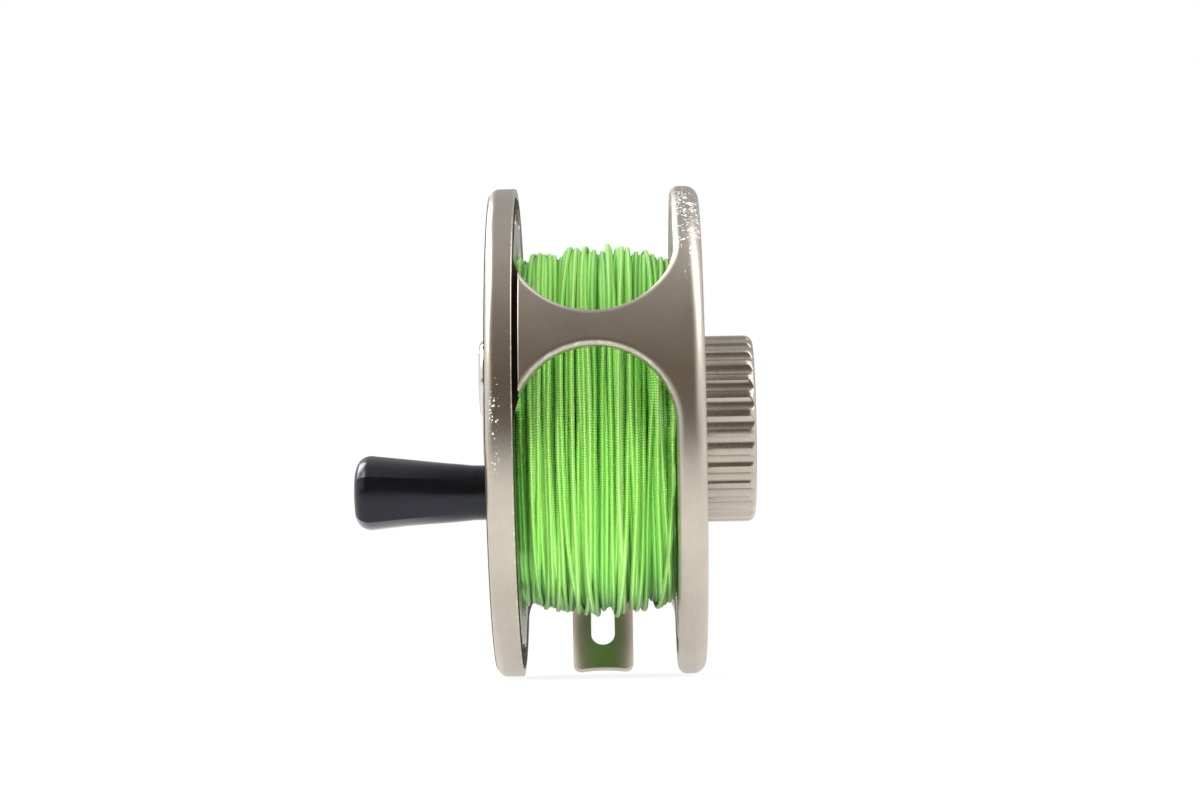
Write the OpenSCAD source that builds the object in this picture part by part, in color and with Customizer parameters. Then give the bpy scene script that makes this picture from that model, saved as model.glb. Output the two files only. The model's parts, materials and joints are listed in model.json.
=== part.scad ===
// Large-arbor fly reel with an open cage frame, loaded with braided line.
// Every piece is drawn lying on the reel's back: Z runs along the spindle, z = 0 is the
// frame's back face and the handle side is up. stand() then sets the reel upright, on its
// two rims and the lower tip of its foot, with the drag knob towards +X.

/* [Frame] */
// Outer diameter of the frame and of the spool's rim
rim_d = 100; // [92:1:110]
// Thickness of the frame's back plate
back_t = 3.2; // [2.6:0.1:3.6]
// Width of the thick ring round the back plate
bezel_w = 6.4; // [5.8:0.1:6.8]
// Height of that ring
bezel_h = 5; // [4.4:0.1:5.3]
// Thickness of the cage wall
cage_t = 4.1; // [3.2:0.1:4.6]
// Height of the cage wall, up to the spool's rim
cage_h = 36; // [34:0.5:37]
// Step from the cage wall in to the lip that runs under the spool's rim
lip_step = 2.1; // [1.6:0.1:2.4]
// Height of the lip
lip_h = 3.4; // [3:0.1:4]
// Width of the two windows, along the spindle
window_w = 32; // [30:0.5:33]
// Height of the windows' rear edge above the back face
window_z = 5.4; // [5.4:0.1:6]
// Width of the plain pillar at its waist
pillar_w = 7.2; // [6:0.2:12]
// Width of the foot's pillar at its waist
foot_pillar_w = 22; // [20:0.5:26]
// Fillet round the back face
back_fillet = 2.7; // [1:0.1:3]
// Number of ports in each ring of the back plate
back_ports = 15; // [9:1:16]
// Diameter of the back plate's outer ports
back_port_d = 10; // [6:0.5:10.5]
// Diameter of the back plate's inner ports
back_inner_port_d = 5.6; // [4:0.2:6.4]

/* [Foot] */
// Length of the foot
foot_l = 65; // [60:1:66]
// Width of the foot
foot_w = 13.1; // [12:0.1:14]
// Thickness of the foot's saddle
foot_t = 2; // [1.6:0.1:2.4]
// Radius of the rod side of the saddle
saddle_r = 13; // [11:0.5:16]
// How far the foot's tips stand out past the rim
foot_stand = 5; // [4:0.5:7]
// Width of the two slots in the foot
slot_w = 5.1; // [4.2:0.1:6]
// Solid length between a slot and the foot's tip
slot_end = 5.3; // [4:0.1:8]
// Length of the block that seats the foot on its pillar
foot_block_l = 20; // [17:0.5:21]
// Spacing of the foot's two screws
foot_screw_spacing = 11; // [9:0.5:12]

/* [Spool] */
// Gap between the cage wall and the spool's rim
rim_gap = 1.1; // [0.8:0.1:1.4]
// Width of the spool's rim
spool_rim_w = 5.45; // [5.2:0.05:6.4]
// Fillet round the spool's face
spool_fillet = 2; // [1:0.1:2.4]
// Gap between the cage wall and the edge of the spool's rear flange
flange_edge = 2.9; // [2.4:0.1:5]
// Thickness of the rear flange
flange_t = 1.4; // [1:0.1:1.8]
// Running gap between the back plate and the rear flange
flange_gap = 1.1; // [0.8:0.1:1.4]
// Thickness of the spool's front plate
front_t = 2.8; // [2.4:0.1:2.8]
// Outer diameter of the arbor
arbor_d = 48.8; // [47:0.2:52]
// Thickness of the arbor's wall
arbor_t = 1.8; // [1.2:0.1:2]
// Outer diameter of the hub sleeve
hub_d = 26.6; // [26:0.2:28]
// Number of long slots round the front plate
rim_slots = 12; // [8:2:16]
// Number of ports in the front plate, before the handle and counterweight pads
front_ports = 16; // [12:4:20]
// Diameter of the front plate's ports
front_port_d = 9.4; // [6:0.2:10]
// Number of ports in the rear flange
flange_ports = 18; // [12:1:20]
// Diameter of the rear flange's ports
flange_port_d = 7; // [5:0.2:8]

/* [Line] */
// Diameter of the wound line
line_d = 0.86; // [0.6:0.02:0.86]
// Turns of line in the outer layer
line_turns = 22; // [16:1:22]
// Radius of the line at the middle of the spool
line_r = 37.3; // [32:0.1:38]
// How much lower the line lies at the flanges
line_crown = 2.4; // [0.5:0.1:4]

/* [Handle] */
// Distance from the rim in to the handle's and the counterweight's centres
handle_inset = 13.5; // [12.5:0.1:15]
// Length of the grip
grip_l = 26; // [20:0.5:32]
// Diameter of the grip's collar
grip_base_d = 10.7; // [10:0.1:12]
// Diameter of the grip at its widest
grip_d = 15.3; // [13:0.1:17]
// Radius of the grip's outer edge
grip_round = 3; // [1:0.1:3.4]
// Number of shallow flutes on the grip
grip_flutes = 10; // [6:1:12]
// Radius of each flute
grip_flute_r = 3.4; // [3:0.1:4]
// Depth of each flute at the grip's outer end
grip_flute_depth = 0.95; // [0.5:0.05:1.2]
// Degrees that each flute leans in towards the collar
grip_flute_lean = 2.4; // [1.8:0.1:2.8]
// Diameter of the handle's post
post_d = 4.4; // [4:0.1:5]
// Diameter of the counterweight
weight_d = 17; // [14:0.5:18]
// Height of the counterweight above the spool's rim
weight_proud = 4.4; // [2:0.1:5]

/* [Drag] */
// Outer diameter of the drag knob
knob_d = 38.2; // [37:0.2:42]
// Height of the drag knob
knob_h = 10.2; // [10:0.1:12]
// Gap between the frame and the knob
knob_gap = 0.45; // [0.35:0.05:0.8]
// Number of flutes round the knob
knob_flutes = 31; // [20:1:32]
// Radius of each flute
flute_r = 1.7; // [1.2:0.1:1.8]
// Depth of each flute
flute_depth = 0.65; // [0.4:0.05:0.8]
// Fillet round the knob's outer face
knob_fillet = 1.8; // [0.6:0.1:2]
// Travel of the pressure plate from loose to full drag
drag_travel = 0.6; // [0.4:0.05:0.6]
// Diameter of the spindle
spindle_d = 6; // [5.6:0.1:6.2]
// Running gap between the drag housing and the spool's arbor
drum_gap = 2.1; // [1.8:0.1:3.4]
// Thickness of the drag housing's wall
drum_t = 3.4; // [3.2:0.1:3.6]
// Height of the drag housing above the back face
drum_h = 14.5; // [14.5:0.1:15]
// Thickness of each friction disc
disc_t = 1.2; // [1:0.05:1.3]
// Thickness of the steel rotor
rotor_t = 1.5; // [1.2:0.05:1.6]
// Outer diameter of the rotor's sleeve
sleeve_d = 15; // [14.6:0.1:15.4]
// Number of rollers in the one-way clutch
clutch_rollers_n = 10; // [8:1:10]
// Number of teeth on the click gear
click_teeth = 24; // [12:12:24]

/* [Hidden] */

$fn = 96;
fit = 0.03;         // between pieces that are pressed or screwed together
run = 0.06;         // radial clearance of a running fit
clear = 0.3;        // least gap between pieces that move past each other
over = 0.5;         // how far a cut runs past a face

rim_r = rim_d / 2;
cage_in_r = rim_r - cage_t;
bezel_in_r = rim_r - bezel_w;
lip_r = rim_r - lip_step;
lip_top = cage_h + lip_h;
window_r = window_w / 2;
window_mid = window_z + window_r;
window_step = 0.02;
edge_bevel = 0.3;

arbor_r = arbor_d / 2;
arbor_in_r = arbor_r - arbor_t;
drum_r = arbor_in_r - drum_gap;
back_inner_ring_r = drum_r + back_inner_port_d / 2 + 0.9;
back_port_ring_r = bezel_in_r - back_port_d / 2 - 1.6;

// The foot: u points out from the spindle, v along the foot. The saddle's axis lies outside it.
foot_reach = rim_r + foot_stand;
foot_half = foot_l / 2;
foot_corner = 2;
tip_side = foot_w / 2 - foot_corner;
saddle_u = foot_reach + sqrt(saddle_r * saddle_r - tip_side * tip_side);
tip_r = norm([foot_reach, foot_half]);
foot_angle = 180 + asin(rim_r / tip_r) - atan2(foot_half, foot_reach);
pillar_angle = foot_angle - 180;
foot_mid_u = saddle_u - saddle_r;
foot_screw_d = 3;
foot_screw_head_d = 5.4;
foot_screw_head_t = 1.5;
foot_seat_w = 9;
foot_land = 0.3;

// Angles at the spindle between a pillar's middle and the centres of the window ends beside it
window_half_angle = asin(window_r / rim_r);
pillar_offset = asin(pillar_w / 2 / rim_r) + window_half_angle;
foot_offset = asin(foot_pillar_w / 2 / rim_r) + window_half_angle;

// The spool, from the rear flange to the face of the rim
flange_z = back_t + flange_gap;
line_lo = flange_z + flange_t;
line_hi = cage_h + rim_gap;
spool_face = line_hi + spool_rim_w;
web_z = lip_top + clear + 0.2;
web_t = 2.1;
web_top = web_z + web_t;
rim_in_r = lip_r + clear + 0.2;
plate_r = cage_in_r - clear - 0.4;
plate_top = line_hi + front_t;
flange_r = cage_in_r - flange_edge;
hub_r = hub_d / 2;

// Bearings and the clutch, from the rotor's sleeve up
spindle_r = spindle_d / 2;
bearing_od = 13;
bearing_w = 5;
bearing_r = bearing_od / 2;
ball_r = 1.1;
ball_count = 8;
ball_ring_r = (spindle_r + bearing_r) / 2;
sleeve_r = sleeve_d / 2;
sleeve_t = 1.5;
roller_r = 1.25;
roller_ring_r = sleeve_r + run + roller_r;
shell_in_r = roller_ring_r + roller_r + run;
shell_r = shell_in_r + 1.5;
clutch_lo = drum_h + 2.4;
clutch_h = 8;
clutch_hi = clutch_lo + clutch_h;
hub_lo = clutch_lo - 0.4;
shoulder_t = 1.6;
rear_bearing_z = clutch_hi + shoulder_t;
front_bearing_z = line_hi - 1.1;
hub_top = front_bearing_z + bearing_w;

// The drag stack in its housing, from the back plate up
drum_in_r = drum_r - drum_t;
disc_r = drum_in_r - 0.7;
disc_in_r = sleeve_r + 0.8;
cover_t = 2.4;
cover_screw_r = 0.8;
cover_head_r = 1.25;
cover_head_t = 0.8;
cover_screw_l = 3;
cover_ring_r = drum_r - drum_t / 2;
cover_screws_n = 6;
cover_start = 10;
cover_z = drum_h - cover_t;
stack_top = cover_z - 0.1;
front_disc_z = stack_top - disc_t;
rotor_z = front_disc_z - 0.1 - rotor_t;
rear_disc_z = rotor_z - 0.1 - disc_t;
plate_t = 1.5;
washer_t = 0.5;
washer_rise = 0.35;
washers_h = 2 * (washer_rise + washer_t) + 2 * fit;
plate_z = rear_disc_z - 0.1 - drag_travel - washers_h - plate_t;
collar_r = 5;
collar_t = 1.4;
sleeve_top = clutch_hi - 0.2;
seal_d = 1.6;

// Under the knob: boss, thrust ring and its pins
knob_r = knob_d / 2;
knob_lo = -knob_gap - knob_h;
knob_wall = 3.7;
knob_in_r = knob_r - knob_wall;
knob_top_t = 3.1;
knob_floor = knob_lo + knob_top_t;
boss_r = knob_in_r - 0.6;
boss_in_r = boss_r - 3;
boss_h = 4.5;
nut_r = 5.6;
nut_t = 2.6;
stem_r = 6.4;
stem_top = -nut_t - 0.4;
knob_screw_l = 6;
ring_r = boss_in_r - 0.4;
ring_t = 2.2;
ring_z = knob_floor + 1.2;
pin_r = 1.4;
pin_ring_r = 9.2;
pin_count = 3;
screw_head_r = 4.6;
screw_head_t = 1.3;
knob_screw_r = 1.5;
spindle_lo = knob_lo + 1.7;
detent_ring_r = (knob_r - flute_depth + knob_in_r) / 2 - 0.05;
detent_ball_r = 0.9;
detent_z = 0.1;
detent_hole_z = 2.6;

// The click gear on the hub's lower end, and its pawl on the drag cover
click_r = 16;
click_root_r = click_r - 1.3;
click_t = 1.8;
click_z = hub_lo + 0.1;
click_tooth_w = 1.3;
pawl_room = arbor_in_r - click_r;
pawl_ring_r = click_r + pawl_room / 2 - 0.1;
pawl_body_r = 0.29 * pawl_room;
pawl_pin_r = pawl_body_r - 0.9;
pawl_angle = 100;
pawl_lift = 0.2;     // the pawl is drawn lifted, its nose just off the teeth
pawl_tip_r = click_r + pawl_lift;
pawl_tip_w = 0.7;
spring_foot_r = 14.6;
spring_wire_r = 0.3;
spring_root = 1.2;
spring_z = drum_h + 1;

// The handle and the counterweight opposite it
handle_angle = -22;
handle_r = rim_r - handle_inset;
pad_r = 6.6;
pad_top = web_top;
grip_z = pad_top + 0.35;
grip_collar_l = 3;
grip_bore_r = 3.1;
bushing_r = grip_bore_r - fit;
post_r = post_d / 2;
post_head_r = 4;
post_head_t = 2;
grip_top = grip_z + grip_l;
post_head_z = grip_top - post_head_t - 0.6;
head_recess_z = post_head_z - 0.5;
weight_top = spool_face + weight_proud;
weight_screw_r = 1.6;

// The cap on the spindle's end
cap_z = hub_top + clear;
cap_top = spool_face + 2;
cap_r = 10.8;
key_l = 14;
key_w = 1.8;
key_hole_r = 7.6;

// The reel's place: centred over the ground that it covers
foot_end_u = saddle_u - sqrt(saddle_r * saddle_r - foot_w * foot_w / 4);
function foot_tip_x(a) = let (w = tip_side + foot_corner * sin(a),
        v = foot_half - foot_corner * (1 - cos(a)),
        u = saddle_u - sqrt(saddle_r * saddle_r - w * w))
    -u * cos(foot_angle) - v * sin(foot_angle);
foot_far = max([for (a = [0:5:90]) foot_tip_x(a)]);
x_mid = (grip_top + knob_lo) / 2;
y_mid = (rim_r - foot_far) / 2;

// Colours
metal = [0.62, 0.58, 0.52];
steel = [0.78, 0.78, 0.8];
black = [0.08, 0.08, 0.09];
green = [0.36, 0.85, 0.2];

// Upright on its rims, with the knob towards +X
module stand() {
    translate([x_mid, y_mid, rim_r]) rotate([90, 0, -90]) children();
}

// n copies round the spindle
module around(n, r, start = 0) {
    for (i = [0:n - 1]) rotate([0, 0, start + i * 360 / n]) translate([r, 0, 0]) children();
}

// A tube between two radii and two heights
module tube(r_in, r_out, z0, z1) {
    rotate_extrude() translate([r_in, z0]) square([r_out - r_in, z1 - z0]);
}

module rod(r, z0, z1) {
    translate([0, 0, z0]) cylinder(r = r, h = z1 - z0);
}

// What a fillet takes off the corner of a square at the origin that lies in +x +y
module corner(r) {
    difference() {
        translate([-over, -over]) square([r + over, r + over]);
        translate([r, r]) circle(r = r);
    }
}

// What a bevel takes off that corner
module bevel(w) {
    polygon([[-over, -over], [w + over, -over], [-over, w + over]]);
}

module profile(r_in, r_out, z0, z1) {
    translate([r_in, z0]) square([r_out - r_in, z1 - z0]);
}

// A cone from a wide mouth at z1 down to the hole's radius at z0
module flare(r0, r1, z0, z1) {
    translate([0, 0, z0]) cylinder(r1 = r0, r2 = r1, h = z1 - z0);
}

// ---- Frame ----

module frame_profile() {
    difference() {
        union() {
            profile(spindle_r + fit, rim_r, 0, back_t);
            profile(bezel_in_r, rim_r, 0, bezel_h);
            profile(cage_in_r, rim_r, back_t, cage_h);
            profile(cage_in_r, lip_r, back_t, lip_top);
            profile(drum_in_r, drum_r, back_t - 0.1, cover_z);
            profile(boss_in_r, boss_r, -boss_h, 0.1);
        }
        translate([rim_r, 0]) mirror([1, 0]) corner(back_fillet);
        translate([rim_r, cage_h]) rotate(180) bevel(edge_bevel);
        translate([boss_r + 0.05, -boss_h * 0.5]) circle(r = seal_d / 2);
    }
}

// One window: an arc of the wall between two round ends, which it meets just inside their
// tangent, so that the two surfaces cross
module window(from, to) {
    for (a = [from, to]) rotate([0, 0, a]) translate([bezel_in_r - 2, 0, window_mid])
        rotate([0, 90, 0]) cylinder(r = window_r, h = bezel_w + 4);
    rotate([0, 0, from]) rotate_extrude(angle = to - from)
        translate([bezel_in_r + 1, window_z + window_step])
            square([bezel_w + 1, window_w - 2 * window_step]);
}

module frame() color(metal) stand() {
    difference() {
        rotate_extrude() frame_profile();
        window(pillar_angle + pillar_offset, foot_angle - foot_offset);
        window(foot_angle + foot_offset, 360 + pillar_angle - pillar_offset);
        around(back_ports, back_port_ring_r)
            rod(back_port_d / 2, -over, back_t + over);
        around(back_ports, back_inner_ring_r, 180 / back_ports)
            rod(back_inner_port_d / 2, -over, back_t + over);
        around(pin_count, pin_ring_r) rod(pin_r + run, -over, back_t + over);
        translate([detent_ring_r, 0, 0]) rod(detent_ball_r + run, -over, detent_hole_z);
        at_cover_screws() rod(cover_screw_r + fit, cover_z - cover_screw_l - clear, cover_z + over);
        foot_holes(rim_r - cage_t - over, foot_screw_d / 2 + fit);
    }
}

// ---- Foot ----

// Sets children that are drawn along the foot at its place: x = u, y = v, z = spindle
module at_foot() {
    rotate([0, 0, foot_angle]) translate([0, 0, window_mid]) children();
}

module foot_holes(u0, r) {
    at_foot() for (s = [-1, 1]) translate([u0, s * foot_screw_spacing / 2, 0])
        rotate([0, 90, 0]) cylinder(r = r, h = saddle_u - u0);
}

// The foot's outline seen along u, with round corners
module foot_plan() {
    square([foot_l - 2 * foot_corner, foot_w], center = true);
    square([foot_l, foot_w - 2 * foot_corner], center = true);
    for (x = [-1, 1], y = [-1, 1])
        translate([x * (foot_half - foot_corner), y * tip_side]) circle(r = foot_corner);
}

module slot_plan() {
    slot_a = foot_block_l / 2 + 1 + slot_w / 2;
    slot_b = foot_half - slot_end - slot_w / 2;
    for (s = [-1, 1]) {
        translate([s * (slot_a + slot_b) / 2, 0])
            square([slot_b - slot_a, slot_w], center = true);
        for (v = [slot_a, slot_b]) translate([s * v, 0]) circle(r = slot_w / 2);
    }
}

// Turns a plan drawn in the xy plane to lie along the foot, and gives it depth along u
module along_u(u0, u1) {
    translate([u0, 0, 0]) rotate([90, 0, 90]) linear_extrude(u1 - u0) children();
}

module reel_foot() color(metal) stand() at_foot() difference() {
    union() {
        // the saddle, convex towards the spindle
        intersection() {
            along_u(foot_mid_u - foot_t, foot_end_u + 1) foot_plan();
            translate([saddle_u, 0, 0]) rotate([90, 0, 0])
                cylinder(r = saddle_r + foot_t, h = foot_l + 2, center = true);
        }
        // the block that seats on the pillar
        along_u(rim_r - 3, foot_mid_u - foot_t / 2)
            square([foot_block_l, foot_seat_w], center = true);
    }
    translate([saddle_u, 0, 0]) rotate([90, 0, 0])
        cylinder(r = saddle_r, h = foot_l + 4, center = true);
    translate([0, 0, -window_mid]) rod(rim_r + fit, 0, 2 * window_mid);
    along_u(foot_end_u - foot_land, foot_end_u + 2) square([foot_l + 2, foot_w + 2], center = true);
    along_u(foot_mid_u - foot_t - 3, foot_end_u + 2) slot_plan();
    for (s = [-1, 1]) translate([0, s * foot_screw_spacing / 2, 0]) rotate([0, 90, 0]) {
        cylinder(r = foot_screw_d / 2 + fit, h = saddle_u);
        translate([0, 0, foot_mid_u - foot_screw_head_t - 0.1])
            cylinder(r = foot_screw_head_d / 2 + 0.1, h = saddle_r);
    }
}

module foot_screws() color(steel) stand() at_foot()
    for (s = [-1, 1]) translate([0, s * foot_screw_spacing / 2, 0]) rotate([0, 90, 0])
        difference() {
            union() {
                rod(foot_screw_d / 2, cage_in_r + 0.3, foot_mid_u - foot_screw_head_t);
                rod(foot_screw_head_d / 2, foot_mid_u - foot_screw_head_t - 0.1 + fit,
                    foot_mid_u - 0.1);
            }
            translate([0, 0, foot_mid_u - 1.2]) cylinder(r = 1.1, h = 3, $fn = 6);
        }

// ---- Spindle, bearings, cap ----

module spindle() color(steel) stand() difference() {
    union() {
        rod(spindle_r, spindle_lo, cap_top - 1.6);
        rod(collar_r, back_t + fit, back_t + collar_t);
    }
    rod(knob_screw_r + fit, spindle_lo - over, spindle_lo + knob_screw_l);
}

module spindle_nut() color(steel) stand() difference() {
    translate([0, 0, -nut_t]) cylinder(r = nut_r, h = nut_t - fit, $fn = 6);
    rod(spindle_r + fit, -nut_t - over, over);
}

module race(r_in, r_out, z) {
    rotate_extrude() difference() {
        profile(r_in, r_out, z, z + bearing_w);
        translate([ball_ring_r, z + bearing_w / 2]) circle(r = ball_r + run);
    }
}

module bearing_inner_races() color(steel) stand()
    for (z = [rear_bearing_z, front_bearing_z])
        race(spindle_r + fit, ball_ring_r - 0.45, z);

module bearing_outer_races() color(steel) stand()
    for (z = [rear_bearing_z, front_bearing_z])
        race(ball_ring_r + 0.45, bearing_r - fit, z);

module bearing_balls() color(steel) stand()
    for (z = [rear_bearing_z, front_bearing_z])
        around(ball_count, ball_ring_r) translate([0, 0, z + bearing_w / 2])
            sphere(r = ball_r, $fn = 24);

module spool_cap() color(metal) stand() difference() {
    rotate_extrude() difference() {
        union() {
            profile(spindle_r + fit, cap_r, cap_z, cap_top);
            profile(spindle_r + fit, ball_ring_r - 0.6, hub_top + fit, cap_z + 0.1);
            profile(0, spindle_r + 1, cap_top - 1.5, cap_top);
        }
        translate([cap_r, cap_top]) rotate(180) corner(1.2);
        translate([cap_r + 0.05, cap_z + 0.9]) circle(r = 0.5);
    }
    translate([-key_l / 2, -key_w / 2, cap_top - 0.8]) cube([key_l, key_w, 2]);
    around(2, key_hole_r, 90) rod(1, cap_top - 1.2, cap_top + over);
}

module cap_o_ring() color(black) stand()
    rotate_extrude() translate([cap_r + 0.02, cap_z + 0.9]) circle(r = 0.45);

// ---- Drag ----

module at_cover_screws() {
    around(cover_screws_n, cover_ring_r, cover_start) children();
}

module drag_cover() color(metal) stand() difference() {
    rotate_extrude() union() {
        profile(sleeve_r + seal_d, drum_r, cover_z + fit, drum_h);
        profile(sleeve_r + 0.5, drum_in_r - 2, cover_z + fit, cover_z + 0.5);
    }
    at_cover_screws() {
        rod(cover_screw_r + fit, cover_z - over, drum_h + over);
        rod(cover_head_r + fit, drum_h - cover_head_t, drum_h + over);
    }
    rotate([0, 0, pawl_angle]) translate([spring_foot_r, 0, 0])
        rod(spring_wire_r + fit, drum_h - spring_root, drum_h + over);
}

module cover_screws() color(steel) stand() at_cover_screws() {
    rod(cover_screw_r, cover_z - cover_screw_l, drum_h - cover_head_t + fit);
    rod(cover_head_r, drum_h - cover_head_t + fit, drum_h);
}

module hub_seal() color(black) stand() rotate_extrude()
    translate([sleeve_r + seal_d / 2 + run, cover_z + 0.5 + seal_d / 2 + 0.02])
        circle(r = seal_d / 2 - 0.08);

module friction_discs() color(black) stand()
    for (z = [front_disc_z, rear_disc_z]) tube(disc_in_r, disc_r, z, z + disc_t);

module drag_rotor() color(steel) stand() difference() {
    union() {
        rod(disc_r - 0.2, rotor_z, rotor_z + rotor_t);
        rod(sleeve_r, rotor_z, sleeve_top);
    }
    rod(sleeve_r - sleeve_t, rotor_z - over, sleeve_top + over);
    around(6, (disc_in_r + sleeve_r) / 2 + 0.2) rod(0.35, rotor_z - over, rotor_z + rotor_t + over);
}

module rotor_bushings() color([0.75, 0.55, 0.3]) stand()
    for (z = [rotor_z + 0.2, sleeve_top - 4.4])
        tube(spindle_r + run, sleeve_r - sleeve_t - fit, z, z + 4);

module pressure_plate() color(steel) stand() difference() {
    tube(collar_r + 0.4, disc_r, plate_z, plate_z + plate_t);
    around(pin_count, pin_ring_r) rod(1, plate_z + 0.7, plate_z + plate_t + over);
}

// Two spring washers, back to back
module spring_washers() color(steel) stand() rotate_extrude() {
    r0 = disc_in_r + 0.2;
    r1 = disc_r - 1;
    z0 = plate_z + plate_t + fit;
    z1 = z0 + washer_rise;
    z2 = z1 + washer_t + fit;
    polygon([[r0, z1], [r1, z0], [r1, z0 + washer_t], [r0, z1 + washer_t]]);
    polygon([[r0, z2], [r1, z2 + washer_rise], [r1, z2 + washer_rise + washer_t],
        [r0, z2 + washer_t]]);
}

module thrust_ring() color(steel) stand() {
    tube(stem_r + run, ring_r, ring_z, ring_z + ring_t);
    around(pin_count, pin_ring_r) rod(pin_r, ring_z + ring_t - 0.2, plate_z - fit);
}

module drag_knob() color(metal) stand() difference() {
    rotate_extrude() difference() {
        profile(0, knob_r, knob_lo, -knob_gap);
        profile(stem_r, knob_in_r, knob_floor, over);
        profile(-over, stem_r + over, stem_top, over);
        profile(-over, spindle_r + run, knob_lo + screw_head_t + 0.4, over);
        profile(-over, screw_head_r + 0.3, knob_lo - over, knob_lo + screw_head_t + 0.4);
        translate([knob_r, knob_lo]) mirror([1, 0]) corner(knob_fillet);
        translate([detent_ring_r, detent_z]) circle(r = detent_ball_r + run);
    }
    around(knob_flutes, knob_r + flute_r - flute_depth) rod(flute_r, knob_lo - over, over);
}

module knob_screw() color(steel) stand() difference() {
    union() {
        rod(screw_head_r, knob_lo + 0.3, spindle_lo - fit);
        rod(knob_screw_r, spindle_lo - 0.2, spindle_lo + knob_screw_l - 0.4);
    }
    translate([0, 0, knob_lo]) cylinder(r = 1.5, h = 1, $fn = 6);
}

module knob_seal() color(black) stand() rotate_extrude()
    translate([boss_r + 0.02, -boss_h * 0.5]) circle(r = seal_d / 2 - 0.34);

module detent_ball() color(steel) stand()
    translate([detent_ring_r, 0, detent_z]) sphere(r = detent_ball_r, $fn = 32);

// ---- Wound wire and line ----

function unit(v) = v / norm(v);

// Points of one ring of the tube at a path's point, with n sides; s is the way across
function ring(p, t, s, r, n) = let (a = unit(cross(t, s)), b = cross(a, t))
    [for (k = [0:n - 1]) p + r * (cos(k * 360 / n) * a + sin(k * 360 / n) * b)];

// A tube along points, closed at both ends; side is a direction that the path never takes
module sweep(points, r, sides, side = undef) {
    last = len(points) - 1;
    rings = [for (i = [0:last]) let (
            t = unit(points[min(i + 1, last)] - points[max(i - 1, 0)]),
            s = is_undef(side) ? [points[i][0], points[i][1], 0] : side)
        ring(points[i], t, s, r, sides)];
    walls = [for (i = [0:last - 1], k = [0:sides - 1]) let (
            a = i * sides + k, b = i * sides + (k + 1) % sides)
        each [[a, a + sides, b + sides], [a, b + sides, b]]];
    caps = [for (k = [1:sides - 2])
        each [[0, k, k + 1], [last * sides, last * sides + k + 1, last * sides + k]]];
    polyhedron([for (q = rings) each q], concat(walls, caps));
}

// Turns of a coil: radius as a function of height is given by crowned()
line_rings = 24;
bend_r = 0.6;
wind_lo = line_lo + line_d + bend_r + 0.1;
wind_hi = line_hi - line_d - bend_r - 0.1;
line_mid = (line_lo + line_hi) / 2;
line_half = (line_hi - line_lo) / 2;
function crowned(z) = line_r - line_crown * pow((z - line_mid) / line_half, 2);
wind_pitch = (wind_hi - wind_lo) / line_turns;
function wind_point(a, z) = let (r = crowned(z) - line_d / 2) [r * cos(a), r * sin(a), z];

// A quarter bend from the winding into a flange, then a straight end that meets it squarely
function wind_end(a0, z, dir) = [for (b = [0:30:90])
    let (z1 = z + dir * bend_r * (1 - cos(b)), da = bend_r * sin(b) / line_r * 180 / PI)
        wind_point(a0 + dir * da, z1)];
function reversed(v) = [for (i = [len(v) - 1:-1:0]) v[i]];
wind_turns = [for (i = [1:line_turns * line_rings - 1])
    wind_point(i * 360 / line_rings, wind_lo + i * wind_pitch / line_rings)];
wind_first = wind_end(0, wind_lo, -1);
wind_last = wind_end(line_turns * 360, wind_hi, 1);
wind_path = concat(
    [[wind_first[3][0], wind_first[3][1], line_lo]], reversed(wind_first), wind_turns, wind_last,
    [[wind_last[3][0], wind_last[3][1], line_hi]]);
wind_gap = min([for (i = [0:len(wind_turns) - line_rings - 3], k = [-2:2])
    norm(wind_turns[i + line_rings + k] - wind_turns[i])]) - line_d;
echo(least_gap_between_turns = wind_gap);

module line_winding() color(green) stand() sweep(wind_path, line_d / 2, 6);

// The line and backing under the outer layer
module line_core() color(green) stand() rotate_extrude() {
    steps = 16;
    dip = line_d + (line_r * (1 - cos(180 / line_rings))) + 0.06;
    polygon(concat([[arbor_r + fit, line_hi - fit], [arbor_r + fit, line_lo + fit]],
        [for (i = [0:steps]) let (z = line_lo + fit + (line_hi - line_lo - 2 * fit) * i / steps)
            [crowned(z) - dip, z]]));
}

function helix(r, z0, z1, turns, n) = [for (i = [0:turns * n])
    let (a = i * 360 / n) [r * cos(a), r * sin(a), z0 + (z1 - z0) * i / (turns * n)]];

module detent_spring() color(steel) stand() translate([detent_ring_r, 0, 0])
    sweep(helix(0.6, detent_z + detent_ball_r + 0.2, detent_hole_z - 0.25, 3, 8), 0.15, 6);

// ---- Spool ----

module spool_profile() {
    difference() {
        union() {
            profile(arbor_in_r, flange_r, flange_z, line_lo);
            profile(arbor_in_r, arbor_r, flange_z, plate_top);
            profile(hub_r - 2, plate_r, line_hi, plate_top);
            profile(plate_r - 4, plate_r, plate_top - 0.1, web_top);
            profile(plate_r - 0.1, rim_in_r + 0.5, web_z, web_top);
            profile(rim_in_r, rim_r, line_hi, spool_face);
            profile(shell_r + fit, hub_r, hub_lo, hub_top);
            profile(bearing_r - 1, hub_r, clutch_hi + 0.1, hub_top);
        }
        translate([rim_r, spool_face]) rotate(180) corner(spool_fillet);
        translate([rim_r, line_hi]) mirror([1, 0]) bevel(edge_bevel);
        profile(-over, bearing_r, rear_bearing_z, rear_bearing_z + bearing_w + 0.1);
        profile(-over, bearing_r, front_bearing_z - 0.1, hub_top + over);
    }
}

// A curved slot through a plate, a degrees long between the centres of its round ends
module arc_slot(r, w, a, z0, z1) {
    rotate([0, 0, -a / 2]) rotate_extrude(angle = a) profile(r - w / 2, r + w / 2, z0, z1);
    for (s = [-1, 1]) rotate([0, 0, s * a / 2]) translate([r, 0, 0]) rod(w / 2, z0, z1);
}

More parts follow.
